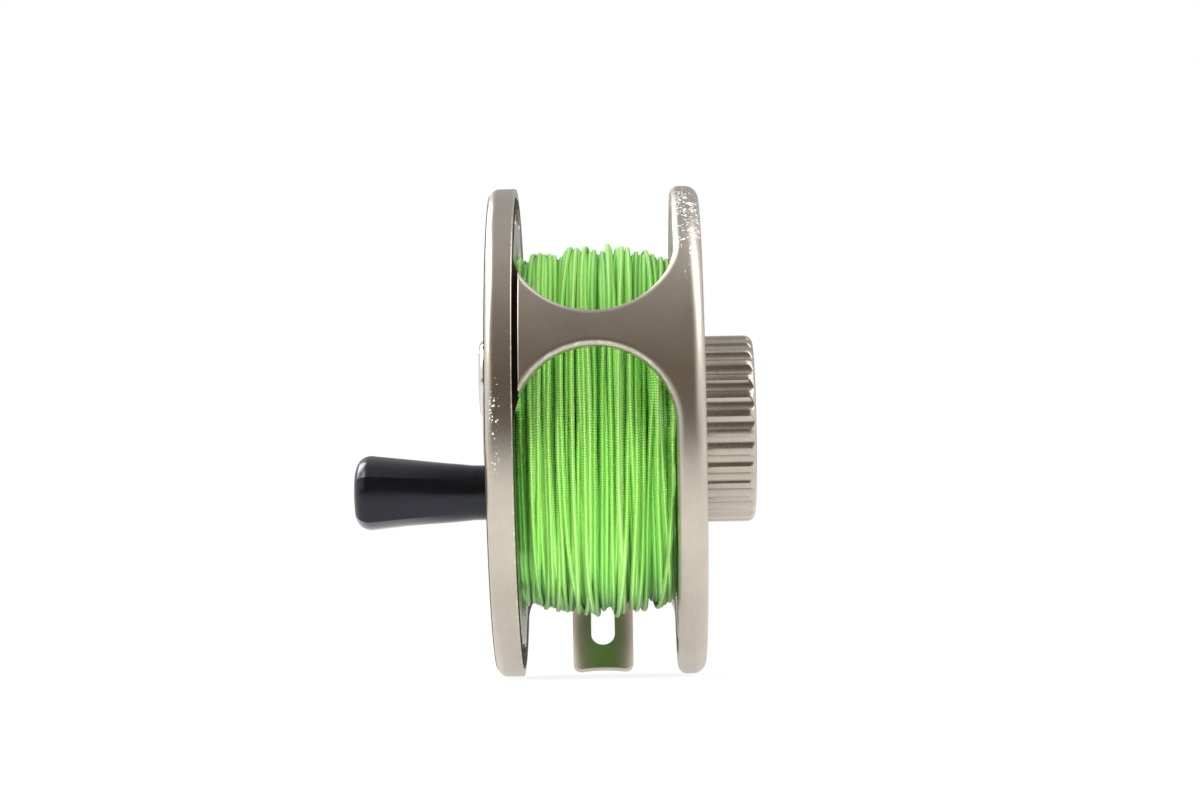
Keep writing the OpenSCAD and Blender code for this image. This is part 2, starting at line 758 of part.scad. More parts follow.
function off_pads(a) = min([for (p = [0, 180, 360, -360, -180])
    abs(a - handle_angle - p)]) > 220 / front_ports;

module spool() color(metal) stand() difference() {
    union() {
        rotate_extrude() spool_profile();
        for (a = [0, 180]) rotate([0, 0, handle_angle + a]) translate([handle_r, 0, 0])
            rod(pad_r, line_hi + 0.5, pad_top);
    }
    // long slots between the line's flange and the rim
    for (i = [0:rim_slots - 1]) rotate([0, 0, 90 + i * 360 / rim_slots])
        arc_slot(plate_r - 0.2, 3, 360 / rim_slots - 9, line_hi - over, web_top + over);
    // round ports in the front plate, clear of the handle's and counterweight's pads
    for (i = [0:front_ports - 1]) let (a = handle_angle + (i + 0.5) * 360 / front_ports)
        if (off_pads(a)) rotate([0, 0, a]) translate([(arbor_r + plate_r - 2) / 2, 0, 0])
            rod(front_port_d / 2, line_hi - over, web_top + over);
    // openings between the hub's spokes
    for (i = [0:5]) rotate([0, 0, handle_angle + 30 + i * 60])
        arc_slot((hub_r + arbor_in_r) / 2, arbor_in_r - hub_r - 2.4, 26,
            line_hi - over, plate_top + over);
    around(flange_ports, (arbor_r + flange_r) / 2 + 3.6)
        rod(flange_port_d / 2, flange_z - over, line_lo + over);
    for (a = [0, 180]) rotate([0, 0, handle_angle + a]) translate([handle_r, 0, 0])
        rod(a == 0 ? post_r - 0.4 + fit : weight_screw_r + fit, line_hi - over, pad_top + over);
}

module click_gear() color(steel) stand() difference() {
    union() {
        rod(click_root_r, click_z, click_z + click_t);
        around(click_teeth, 0) translate([click_root_r - 0.5, -click_tooth_w / 2, click_z])
            cube([click_r - click_root_r + 0.5, click_tooth_w, click_t]);
    }
    rod(hub_r + fit, click_z - over, click_z + click_t + over);
}

module clutch_shell() color(steel) stand() rotate_extrude() {
    profile(shell_in_r, shell_r, clutch_lo, clutch_hi);
    profile(sleeve_r + 0.6, shell_in_r + 0.1, clutch_lo, clutch_lo + 0.6);
    profile(sleeve_r + 0.6, shell_in_r + 0.1, clutch_hi - 0.6, clutch_hi);
}

module clutch_rollers() color(steel) stand() around(clutch_rollers_n, roller_ring_r)
    rod(roller_r, clutch_lo + 0.7, clutch_hi - 0.7);

// ---- Click pawl ----

module at_pawl() {
    rotate([0, 0, pawl_angle]) translate([pawl_ring_r, 0, 0]) children();
}

module click_pawl() color(steel) stand() at_pawl() difference() {
    union() {
        rod(pawl_body_r, click_z, click_z + click_t);
        translate([pawl_tip_r - pawl_ring_r, -pawl_tip_w / 2, click_z])
            cube([pawl_ring_r - pawl_tip_r, pawl_tip_w, click_t]);
    }
    rod(pawl_pin_r + run, click_z - over, click_z + click_t + over);
}

module click_pin() color(steel) stand() at_pawl() union() {
    rod(pawl_pin_r, drum_h + fit, click_z + click_t + 0.6);
    rod(pawl_pin_r + clear, drum_h + fit, click_z - clear);
}

// From its foot in the cover the wire bows round the pin and bears on the pawl's back
module click_spring() color(steel) stand() rotate([0, 0, pawl_angle])
    sweep([[spring_foot_r, 0, drum_h - spring_root + clear / 2], [spring_foot_r, 0, drum_h + 0.8],
        [spring_foot_r, 3, spring_z], [pawl_ring_r + 0.6, 4.4, spring_z],
        [pawl_ring_r + 2.6, 2, spring_z]], spring_wire_r, 8, [0.3, 0.2, 0.9]);

// ---- Handle and counterweight ----

module at_handle() {
    rotate([0, 0, handle_angle]) translate([handle_r, 0, 0]) children();
}

module handle_post() color(steel) stand() at_handle() difference() {
    union() {
        rod(post_r - 0.4, line_hi + 0.3, grip_z);
        rod(post_r, pad_top + fit, post_head_z + 0.1);
        rod(post_head_r, post_head_z, post_head_z + post_head_t);
    }
    translate([0, 0, post_head_z + post_head_t - 1.2]) cylinder(r = 1.6, h = 2, $fn = 6);
}

module handle_bushing() color([0.75, 0.55, 0.3]) stand() at_handle()
    tube(post_r + run, bushing_r, grip_z + 0.4, head_recess_z - 0.3);

module grip_profile() {
    r0 = grip_base_d / 2;
    r1 = grip_d / 2;
    edge_z = grip_l - grip_round;
    polygon([[0, 0], [r0 - clear, 0], [r0, clear], [r0, grip_collar_l], [r1, edge_z], [0, edge_z]]);
    translate([r1 - grip_round, edge_z]) circle(r = grip_round);
    profile(0, r1 - grip_round, edge_z - 0.1, grip_l);
}

// A flute's cutter leans about its top, so the flute runs out before the collar
module grip_flute() {
    translate([0, 0, grip_l + over]) rotate([0, grip_flute_lean, 0]) rod(grip_flute_r, -grip_l - 2, over);
}

module handle_grip() color(black) stand() at_handle() translate([0, 0, grip_z]) difference() {
    rotate_extrude() grip_profile();
    around(grip_flutes, grip_d / 2 + grip_flute_r - grip_flute_depth, 180 / grip_flutes) grip_flute();
    rod(grip_bore_r, -over, grip_l);
    rod(post_head_r + 0.3, head_recess_z - grip_z, grip_l + over);
}

module counterweight() color(steel) stand() rotate([0, 0, 180]) at_handle() difference() {
    rotate_extrude() difference() {
        profile(0, weight_d / 2, pad_top + fit, weight_top);
        translate([weight_d / 2, weight_top]) rotate(180) corner(1.4);
    }
    rod(weight_screw_r + fit, 0, weight_top - 1.6);
}

module counterweight_screw() color(steel) stand() rotate([0, 0, 180]) at_handle()
    rod(weight_screw_r, line_hi + 0.3, weight_top - 1.8);

frame();
reel_foot();
foot_screws();
spindle();
spindle_nut();
drag_cover();
cover_screws();
hub_seal();
spool_cap();
cap_o_ring();
bearing_inner_races();
click_pin();
click_spring();
detent_ball();
detent_spring();
knob_screw();
knob_seal();
drag_knob();
thrust_ring();
pressure_plate();
spring_washers();
friction_discs();
drag_rotor();
rotor_bushings();
bearing_balls();
spool();
clutch_shell();
clutch_rollers();
bearing_outer_races();
click_gear();
line_core();
line_winding();
counterweight();
counterweight_screw();
handle_post();
handle_grip();
handle_bushing();
click_pawl();
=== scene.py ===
import json
import math

import bmesh
import bpy
import numpy as np
from mathutils import Matrix, Vector


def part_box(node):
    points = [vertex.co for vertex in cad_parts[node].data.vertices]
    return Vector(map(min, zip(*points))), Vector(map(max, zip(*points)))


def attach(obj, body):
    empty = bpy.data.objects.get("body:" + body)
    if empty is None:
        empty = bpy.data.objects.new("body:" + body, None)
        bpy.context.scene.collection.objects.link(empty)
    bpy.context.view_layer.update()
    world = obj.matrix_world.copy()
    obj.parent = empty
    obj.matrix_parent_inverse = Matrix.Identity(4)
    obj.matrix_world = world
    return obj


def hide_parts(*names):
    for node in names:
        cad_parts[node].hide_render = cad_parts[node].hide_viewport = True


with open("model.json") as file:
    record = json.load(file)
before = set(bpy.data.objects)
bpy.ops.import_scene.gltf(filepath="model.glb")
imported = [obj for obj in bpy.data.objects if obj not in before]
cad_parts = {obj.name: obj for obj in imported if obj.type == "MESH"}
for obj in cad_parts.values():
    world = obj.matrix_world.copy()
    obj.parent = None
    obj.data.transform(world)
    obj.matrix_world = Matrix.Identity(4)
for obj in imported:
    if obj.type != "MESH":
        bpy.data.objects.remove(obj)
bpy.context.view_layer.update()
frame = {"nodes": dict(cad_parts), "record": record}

NODES = frame["nodes"]
MM = 0.001
rng = np.random.default_rng(11)

# ---- The reel's own frame: z along the spindle from the back face, x and y across it ----
# Its sizes are in mm and its angles in degrees.

LO, HI = (np.array(v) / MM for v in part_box("frame"))
RIM_R = (HI[2] - LO[2]) / 2
AXIS_Y, AXIS_Z = (HI[1] + LO[1]) / 2, (HI[2] + LO[2]) / 2
BOSS_H = 4.5            # how far the boss under the knob stands out of the back face
BACK_X = HI[0] - BOSS_H


def to_world(p):
    """Points in the reel's own frame, in mm, to the row frame in metres."""
    p = np.asarray(p, float)
    return np.stack([BACK_X - p[..., 2], AXIS_Y - p[..., 0], AXIS_Z + p[..., 1]], -1) * MM


def cyl(r, phi, z):
    """Points at radius r, angle phi in degrees and height z."""
    r, phi, z = np.broadcast_arrays(r, np.radians(phi), z)
    return np.stack([r * np.cos(phi), r * np.sin(phi), z.astype(float)], -1)


def at(r, phi):
    """The place at radius r and angle phi, as (x, y)."""
    return tuple(cyl(r, phi, 0.0)[:2])


def around(n, r, start=0.0):
    """n places round the spindle, as (x, y)."""
    return [at(r, start + i * 360 / n) for i in range(n)]


def quarter(n):
    """n angles from nothing to a quarter turn."""
    return np.radians(np.linspace(0, 90, n))


def depth_of(node):
    """The lowest and highest place of a CAD node along the spindle."""
    lo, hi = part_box(node)
    return BACK_X - hi[0] / MM, BACK_X - lo[0] / MM


# ---- Materials ----

class Shading:
    """Short calls for the nodes of one node tree."""

    def __init__(self, tree):
        self.tree = tree

    def put(self, value, socket):
        """Links an output to the socket, or sets the socket's own value."""
        if isinstance(value, bpy.types.NodeSocket):
            self.tree.links.new(value, socket)
        elif value is not None:
            socket.default_value = value

    def node(self, kind, *inputs, out=0, **props):
        """A new node's output. Its inputs come in their order, and None leaves one as it is."""
        made = self.tree.nodes.new(kind)
        for key, value in props.items():
            setattr(made, key, value)
        for i, value in enumerate(inputs):
            self.put(value, made.inputs[i])
        return made.outputs[out]

    def named(self, kind, out, **inputs):
        """A new node's output, its inputs given by their names."""
        made = self.tree.nodes.new(kind)
        for key, value in inputs.items():
            self.put(value, made.inputs[key])
        return made.outputs[out]

    def math(self, operation, a, b=None, c=None, clamp=False):
        return self.node("ShaderNodeMath", a, b, c, operation=operation, use_clamp=clamp)

    def ramp(self, value, low, high, to_low=0.0, to_high=1.0):
        return self.node("ShaderNodeMapRange", value, low, high, to_low, to_high)

    def noise(self, vector, scale, detail=3.0, roughness=0.55):
        return self.named("ShaderNodeTexNoise", "Fac", Vector=vector, Scale=scale, Detail=detail,
                          Roughness=roughness)

    def cells(self, vector, scale):
        return self.named("ShaderNodeTexVoronoi", "Distance", Vector=vector, Scale=scale)

    def mix(self, factor, a, b):
        """Between two colours, each an output or an (r, g, b)."""
        a, b = ((*v, 1) if isinstance(v, tuple) else v for v in (a, b))
        return self.node("ShaderNodeMix", factor, *[None] * 5, a, b, out=2, data_type="RGBA")


class Paint(Shading):
    """A material with one Principled shader."""

    def __init__(self, name, colour, metallic=0.0, roughness=0.5, **sockets):
        self.material = bpy.data.materials.new(name)
        self.material.use_nodes = True
        super().__init__(self.material.node_tree)
        self.shader = self.tree.nodes["Principled BSDF"]
        values = {"Base Color": (*colour, 1), "Metallic": metallic, "Roughness": roughness}
        for key, value in {**values, **sockets}.items():
            self.shader.inputs[key].default_value = value

    def place(self):
        """Where on the object the point lies."""
        return self.node("ShaderNodeTexCoord", out=3)

    def attribute(self, name):
        return self.node("ShaderNodeAttribute", attribute_name=name, out=2)

    def bump(self, height, distance):
        self.set("Normal", self.named("ShaderNodeBump", "Normal", Height=height,
                                      Distance=distance, Strength=1.0))

    def set(self, socket, value):
        self.put(value, self.shader.inputs[socket])


PEWTER = (0.605, 0.545, 0.465)
BARE = (0.90, 0.90, 0.91)       # the metal under the anodised skin
GAP_SHADE_COLOUR = (0.055, 0.045, 0.035)    # painted shade for a gap


def scaled(colour, k):
    """The colour, darker or lighter by the factor k."""
    return tuple(min(1.0, c * k) for c in colour)


def round_coordinates(paint, grain):
    """Coordinates whose noise runs in rings round the spindle: across it, along it, round it."""
    x, y, z = (paint.node("ShaderNodeSeparateXYZ", paint.place(), out=i) for i in range(3))
    y = paint.math("SUBTRACT", y, float(AXIS_Y * MM))
    z = paint.math("SUBTRACT", z, float(AXIS_Z * MM))
    across = paint.math("SQRT", paint.math("ADD", paint.math("MULTIPLY", y, y),
                                           paint.math("MULTIPLY", z, z)))
    turn = paint.math("MULTIPLY", paint.math("ARCTAN2", z, y), grain)
    return paint.node("ShaderNodeCombineXYZ", across, x, turn)


def chipped(paint, centre, reach, most):
    """Small chips round a centre, the largest there, and none past their reach."""
    place = paint.place()
    near = paint.node("ShaderNodeVectorMath", place, centre, operation="SUBTRACT")
    near = paint.node("ShaderNodeVectorMath", near, reach, operation="DIVIDE")
    near = paint.node("ShaderNodeVectorMath", near, operation="LENGTH", out=1)
    where = paint.noise(place, scale=420.0, detail=2.0)
    size = paint.math("MULTIPLY", paint.ramp(near, 1.0, 0.25, 0.0, most),
                      paint.ramp(where, 0.30, 0.58))
    return paint.math("LESS_THAN", paint.cells(place, scale=1700.0), size)


def anodised(name, colour, roughness=0.34, chips=None):
    """Anodised aluminium, turned: fine rings, soft mottling, and bare metal where it is rubbed.
    The worn attribute says how rubbed a face is, and below nothing how much shade is painted into a
    gap."""
    paint = Paint(name, colour, metallic=1.0, roughness=roughness)
    place = paint.place()
    rings = paint.noise(round_coordinates(paint, grain=0.004), scale=5200.0, detail=2.0)
    blast = paint.noise(place, scale=9000.0, detail=1.0)
    cloud = paint.noise(place, scale=130.0, detail=4.0)
    patchy = paint.noise(place, scale=1500.0, detail=3.0)
    tint = paint.mix(paint.ramp(cloud, 0.3, 0.7), scaled(colour, 0.93), scaled(colour, 1.06))
    tint = paint.mix(paint.ramp(rings, 0.35, 0.65, 0.0, 0.22), tint, scaled(colour, 1.25))
    wear_and_gap_shade = paint.attribute("worn")
    # Painted shade: below nothing the worn attribute marks a gap, where the colour is darkened and
    # made rougher.
    gap_shade = paint.math("MULTIPLY", wear_and_gap_shade, -1.0, clamp=True)
    worn = paint.math("MULTIPLY", wear_and_gap_shade, paint.ramp(patchy, 0.52, 0.62), clamp=True)
    if chips is not None:
        worn = paint.math("MAXIMUM", worn, chipped(paint, *chips))
    paint.set("Base Color", paint.mix(worn, paint.mix(gap_shade, tint, GAP_SHADE_COLOUR), BARE))
    paint.set("Metallic", paint.math("MULTIPLY_ADD", worn, -0.7, 1.0))
    blasted = paint.ramp(blast, 0.3, 0.7, roughness - 0.04, roughness + 0.05)
    paint.set("Roughness", paint.math("MULTIPLY_ADD", gap_shade, 0.3, blasted))
    paint.bump(paint.math("ADD", paint.math("MULTIPLY", rings, 0.6),
                          paint.math("MULTIPLY", blast, 0.4)), distance=4e-6)
    return paint.material


def turned(name, colour, roughness=0.24):
    """Bare turned metal."""
    paint = Paint(name, colour, metallic=1.0, roughness=roughness)
    rings = paint.noise(round_coordinates(paint, grain=0.003), scale=4200.0)
    cloud = paint.noise(paint.place(), scale=300.0)
    paint.set("Base Color", paint.mix(cloud, scaled(colour, 0.9), colour))
    paint.set("Roughness", paint.ramp(rings, 0.3, 0.7, roughness - 0.06, roughness + 0.1))
    paint.bump(rings, distance=6e-6)
    return paint.material


def moulded(name, colour, roughness, coat=0.0, dust=0.004, gleam=(1, 1, 1, 1)):
    """Moulded plastic or rubber: faint pitting, scuffs and a little dust."""
    paint = Paint(name, colour, roughness=roughness, **{"Coat Weight": coat,
                                                        "Coat Roughness": 0.08,
                                                        "Specular Tint": gleam})
    place = paint.place()
    pits = paint.noise(place, scale=2600.0, detail=2.0)
    scuffs = paint.noise(place, scale=420.0, detail=6.0, roughness=0.7)
    paint.set("Base Color", paint.mix(paint.ramp(scuffs, 0.55, 0.8), colour,
                                      tuple(c * 1.7 + dust for c in colour)))
    paint.set("Roughness", paint.ramp(scuffs, 0.35, 0.75, roughness * 0.8, roughness * 1.5))
    paint.bump(pits, distance=2e-5)
    return paint.material


def woven(name, colour):
    """Carbon discs: a fine two-way weave."""
    paint = Paint(name, colour, roughness=0.45)
    waves = [paint.node("ShaderNodeTexWave", paint.place(), 900.0, out=1, bands_direction=d)
             for d in ("Y", "Z")]
    weave = paint.math("MULTIPLY", *waves)
    paint.set("Base Color", paint.mix(weave, colour, scaled(colour, 2.2)))
    paint.bump(weave, distance=2e-5)
    return paint.material


# ---- Finishes, each named as the record's material slot ----

# Where the chips lie and how far they reach along each axis, in metres, and how large they get
RIM_CORNER_CHIPS = ((0.0264, -0.0320, 0.0885), (0.0042, 0.028, 0.024), 0.60)
SPOOL_RIM_CHIPS = ((-0.0117, -0.0567, 0.0490), (0.0016, 0.016, 0.016), 0.40)

FINISH = {
    "frame_metal": anodised("frame_metal", PEWTER, chips=RIM_CORNER_CHIPS),
    "foot_metal": anodised("foot_metal", PEWTER, roughness=0.36),
    "spool_metal": anodised("spool_metal", PEWTER, roughness=0.30, chips=SPOOL_RIM_CHIPS),
    "knob_metal": anodised("knob_metal", scaled(PEWTER, 0.93), roughness=0.27),
    "inner_metal": turned("inner_metal", (0.72, 0.71, 0.69)),
    "steel": turned("steel", (0.62, 0.61, 0.60)),
    "bright_steel": turned("bright_steel", (0.78, 0.77, 0.75), roughness=0.14),
    "bronze": turned("bronze", (0.62, 0.40, 0.18), roughness=0.34),
    "carbon_disc": woven("carbon_disc", (0.02, 0.02, 0.022)),
    "seal_rubber": moulded("seal_rubber", (0.016, 0.016, 0.017), 0.6),
    "grip_black": moulded("grip_black", (0.0034, 0.0034, 0.0046), 0.20, coat=0.3, dust=0.002,
                          gleam=(0.50, 0.52, 0.66, 1)),
    "braided_line": moulded("braided_line", (0.16, 0.62, 0.06), 0.45),
}
for row in frame["record"]["subparts"]:
    node = NODES[row["node"]]
    node.data.materials.clear()
    node.data.materials.append(FINISH[row["material_slot"]])


# ---- Solids that are turned, then cut: profiles with rounded corners, and cutters ----

def rounded(corners, step=15.0):
    """A closed outline from (r, z, rounding) corners."""
    points = []
    for i, (r, z, q) in enumerate(corners):
        here = np.array([r, z], float)
        if q == 0:
            points.append(here)
            continue
        before = np.array(corners[i - 1][:2], float) - here
        after = np.array(corners[(i + 1) % len(corners)][:2], float) - here
        before, after = before / np.linalg.norm(before), after / np.linalg.norm(after)
        half = math.acos(np.clip(before @ after, -1, 1)) / 2
        middle = here + (before + after) / np.linalg.norm(before + after) * q / math.sin(half)
        sweep = math.pi - 2 * half
        first, last = (here + way * q / math.tan(half) - middle for way in (before, after))
        turn = 1 if first[0] * last[1] - first[1] * last[0] > 0 else -1
        for t in np.linspace(0, sweep * turn, max(2, round(math.degrees(sweep) / step)) + 1):
            c, s = math.cos(t), math.sin(t)
            points.append(middle + [c * first[0] - s * first[1], s * first[0] + c * first[1]])
    return np.array(points)


def solid_object(points, faces, name="cutter"):
    """A closed mesh, its faces turned outward."""
    points = np.asarray(points, float).reshape(-1, 3)
    six_volumes = sum(np.dot(points[f[0]], np.cross(points[f[i]], points[f[i + 1]]))
                      for f in faces for i in range(1, len(f) - 1))
    if six_volumes < 0:
        faces = [f[::-1] for f in faces]
    mesh = bpy.data.meshes.new(name)
    mesh.from_pydata(to_world(points).tolist(), [],
                     [list(map(int, f)) for f in faces])
    obj = bpy.data.objects.new(name, mesh)
    bpy.context.scene.collection.objects.link(obj)
    return obj


def side_faces(rows, cols, closed=False):
    """The faces between rings of points; closed joins the last ring to the first."""
    i, j = (v.reshape(-1) for v in np.meshgrid(np.arange(rows if closed else rows - 1),
                                               np.arange(cols), indexing="ij"))
    n, k = (i + 1) % rows, (j + 1) % cols
    return np.stack([i * cols + j, i * cols + k, n * cols + k, n * cols + j], -1)


def rings_solid(rings, closed=True, name="cutter"):
    """A solid through rings of points. Closed joins the last ring to the first, and otherwise
    both are capped."""
    rings = np.asarray(rings, float)
    rows, cols = rings.shape[:2]
    faces = side_faces(rows, cols, closed).tolist()
    if not closed:
        faces += [list(range(cols))[::-1], list(range((rows - 1) * cols, rows * cols))]
    return solid_object(rings, faces, name)


def turned_solid(corners, name, segments=360):
    """The outline of (r, z, rounding) corners turned round the spindle."""
    outline = rounded(corners)
    phi = np.arange(segments) * 360 / segments
    return rings_solid(cyl(outline[:, None, 0], phi[None, :], outline[:, None, 1]), name=name)


def mouth(r, z0, z1, ease0, ease1, over=1.0):
    """(radius, height) of a round hole whose mouths at z0 and z1 are eased."""
    turn = quarter(5)
    low = [(r + ease0 * (1 - math.sin(t)), z0 + ease0 * (1 - math.cos(t))) for t in turn]
    high = [(r + ease1 * (1 - math.sin(t)), z1 - ease1 * (1 - math.cos(t))) for t in turn]
    return [(r + ease0, z0 - over), *low, *high[::-1], (r + ease1, z1 + over)]


def circle(x, y, r, z, n):
    """n points of a level circle."""
    a = np.arange(n) * 2 * math.pi / n
    return np.column_stack([x + r * np.cos(a), y + r * np.sin(a), np.full(n, z)])


def hole_cutter(x, y, r, z0, z1, ease0=0.3, ease1=0.3, n=48):
    """A round hole through a plate from z0 to z1, its mouths eased."""
    return rings_solid([circle(x, y, q, z, n) for q, z in mouth(r, z0, z1, ease0, ease1)],
                       closed=False)


def blind_hole(x, y, r, z0, z1, n=32):
    """A plain round hole that ends inside the metal."""
    return rings_solid([circle(x, y, r, z, n) for z in (z0, z1)], closed=False)


def slot_cutter(r, width, middle, half_angle, z0, z1, ease=0.3):
    """A curved slot with round ends, centred on the angle middle."""
    start, end = middle - half_angle, middle + half_angle
    along = np.linspace(start, end, 2 + int((end - start) / 3))
    turn = np.radians(np.linspace(-90, 90, 13))[1:-1, None]
    rings = []
    for half, z in mouth(width / 2, z0, z1, ease, ease):
        caps = []
        for a, s in ((math.radians(end), 1), (math.radians(start), -1)):
            out, side = np.array([math.cos(a), math.sin(a)]), np.array([-math.sin(a), math.cos(a)])
            xy = r * out + half * s * (np.cos(turn) * side - np.sin(turn) * out)
            caps.append(np.column_stack([xy, np.full(len(xy), z)]))
        rings.append(np.concatenate([cyl(r + half, along, z), caps[0],
                                     cyl(r - half, along[::-1], z), caps[1]]))
    return rings_solid(rings, closed=False)


def baked(obj):
    """Takes an object's modifiers into its mesh."""
    bpy.context.view_layer.update()
    depsgraph = bpy.context.evaluated_depsgraph_get()
    mesh = bpy.data.meshes.new_from_object(obj.evaluated_get(depsgraph))
    obj.modifiers.clear()
    obj.data = mesh
    return mesh


def joined(obj, others):
    """One solid from several that overlap."""
    for other in others:
        made = obj.modifiers.new("join", "BOOLEAN")
        made.operation, made.object, made.solver = "UNION", other, "MANIFOLD"
    baked(obj)
    for other in others:
        bpy.data.objects.remove(other)
    return obj


def cut(obj, cutters):
    """The mesh that is left of a solid when every cutter is taken out of it."""
    group = bpy.data.collections.new("cutters")
    for c in cutters:
        group.objects.link(c)
    made = obj.modifiers.new("cut", "BOOLEAN")
    made.operand_type, made.collection, made.solver = "COLLECTION", group, "MANIFOLD"
    mesh = baked(obj)
    for c in cutters:
        bpy.data.objects.remove(c)
    bpy.data.collections.remove(group)
    return mesh


def from_world(points, normals):
    """World points and directions as radius, height, and normals outward and along the spindle."""
    p = points / MM
    x, y, z = AXIS_Y - p[:, 1], p[:, 2] - AXIS_Z, BACK_X - p[:, 0]
    nx, ny, nz = -normals[:, 1], normals[:, 2], -normals[:, 0]
    r = np.hypot(x, y)
    out = (nx * x + ny * y) / np.maximum(r, 1e-9)
    return r, z, out, nz


SHARP_ANGLE = 32.0      # edges that bend more than this stay hard


def finished(obj, cutters, body, slot, nodes, worn=None):
    """Cuts a solid, shades it, marks where it is rubbed and where shade is painted into a gap, and
    sets it in place of its CAD nodes.
    """
    mesh = cut(obj, cutters) if cutters else obj.data
    work = bmesh.new()
    work.from_mesh(mesh)
    bmesh.ops.recalc_face_normals(work, faces=work.faces)
    bmesh.ops.dissolve_degenerate(work, edges=work.edges, dist=1e-7)
    work.to_mesh(mesh)
    work.free()
    mesh.polygons.foreach_set("use_smooth", [True] * len(mesh.polygons))
    mesh.set_sharp_from_angle(angle=math.radians(SHARP_ANGLE))
    even = obj.modifiers.new("even", "WEIGHTED_NORMAL")
    even.keep_sharp, even.weight = True, 80
    if worn is not None:
        centres = np.empty(len(mesh.polygons) * 3)
        normals = np.empty(len(mesh.polygons) * 3)
        mesh.polygons.foreach_get("center", centres)
        mesh.polygons.foreach_get("normal", normals)
        values = worn(*from_world(centres.reshape(-1, 3), normals.reshape(-1, 3)))
        mesh.attributes.new("worn", "FLOAT", "FACE").data.foreach_set(
            "value", values.astype(np.float32))
    mesh.materials.clear()
    mesh.materials.append(FINISH[slot])
    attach(obj, body)
    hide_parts(*nodes)


def on_edge(along, low=0.12, high=0.98):
    """Whether a face lies on an eased edge, by the share of its normal that points along."""
    return (np.abs(along) > low) & (np.abs(along) < high)


# ---- The cage frame ----

CAGE_IN, LIP_R, CAGE_TOP, LIP_TOP = 45.9, 47.9, 36.0, 39.4
BACK_T, BEZEL_R, BEZEL_TOP = 3.2, 43.6, 5.0
WINDOW_R, WINDOW_MID = 15.6, 21.4       # radius of the windows' ends, and height of their middle
WINDOW_EASE = 1.8                       # radius that rolls over their outer edges
UPPER_WINDOW, LOWER_WINDOW = (43.72, 169.55), (232.30, 357.45)      # where the ends' centres lie


def window_cutter(start, end, steps=60):
    """A window with round ends between two angles, its outer edge rolled over."""
    layers = [(WINDOW_R, CAGE_IN - 5), (WINDOW_R, CAGE_IN - 2)]
    layers += [(WINDOW_R + WINDOW_EASE * (1 - math.sin(t)), RIM_R - WINDOW_EASE * (1 - math.cos(t)))
               for t in quarter(9)[::-1]]
    layers += [(WINDOW_R + WINDOW_EASE, RIM_R + 2)]
    lean = quarter(25)
    rings = []
    for size, r in layers:
        left = start - np.degrees(np.arcsin(size * np.cos(lean) / r))
        right = end + np.degrees(np.arcsin(size * np.cos(lean[::-1]) / r))
        phi = np.concatenate([left[:-1], np.linspace(start, end, steps), right[1:]])
        rise = size * np.concatenate([np.sin(lean)[:-1], np.ones(steps), np.sin(lean[::-1])[1:]])
        top, low = cyl(r, phi, WINDOW_MID + rise), cyl(r, phi, WINDOW_MID - rise)
        rings.append(np.concatenate([top, low[1:-1][::-1]]))
    rings = np.array(rings)
    rows, cols = rings.shape[:2]
    faces = side_faces(rows, cols).tolist()
    for row, flip in ((0, -1), (rows - 1, 1)):      # both ends are curved, so they are strips
        for a in range(cols // 2):
            strip = dict.fromkeys((a, a + 1, cols - a - 1, (cols - a) % cols))
            faces.append([row * cols + v for v in strip][::flip])
    return solid_object(rings, faces)


def frame_wear_and_gap_shade(r, z, out, along):
    """The windows' edges and the ports' mouths are rubbed, and the gap by the lip is marked for
    painted shade.
    """
    window = (r > RIM_R - WINDOW_EASE) & on_edge(out, 0.5, 0.985) & (z > 4)
    round_end = out ** 2 + along ** 2 < 0.9
    mouths = (r < 44) & on_edge(along)
    # Painted shade: the faces of the lip down in the gap are marked to be darkened.
    gap = (r < RIM_R - 0.35) & (r > CAGE_IN) & (z > CAGE_TOP - 0.1)
    return np.where(gap, -1.0, np.where(mouths, 0.7, np.where(window & round_end, 0.25, 0.0)))


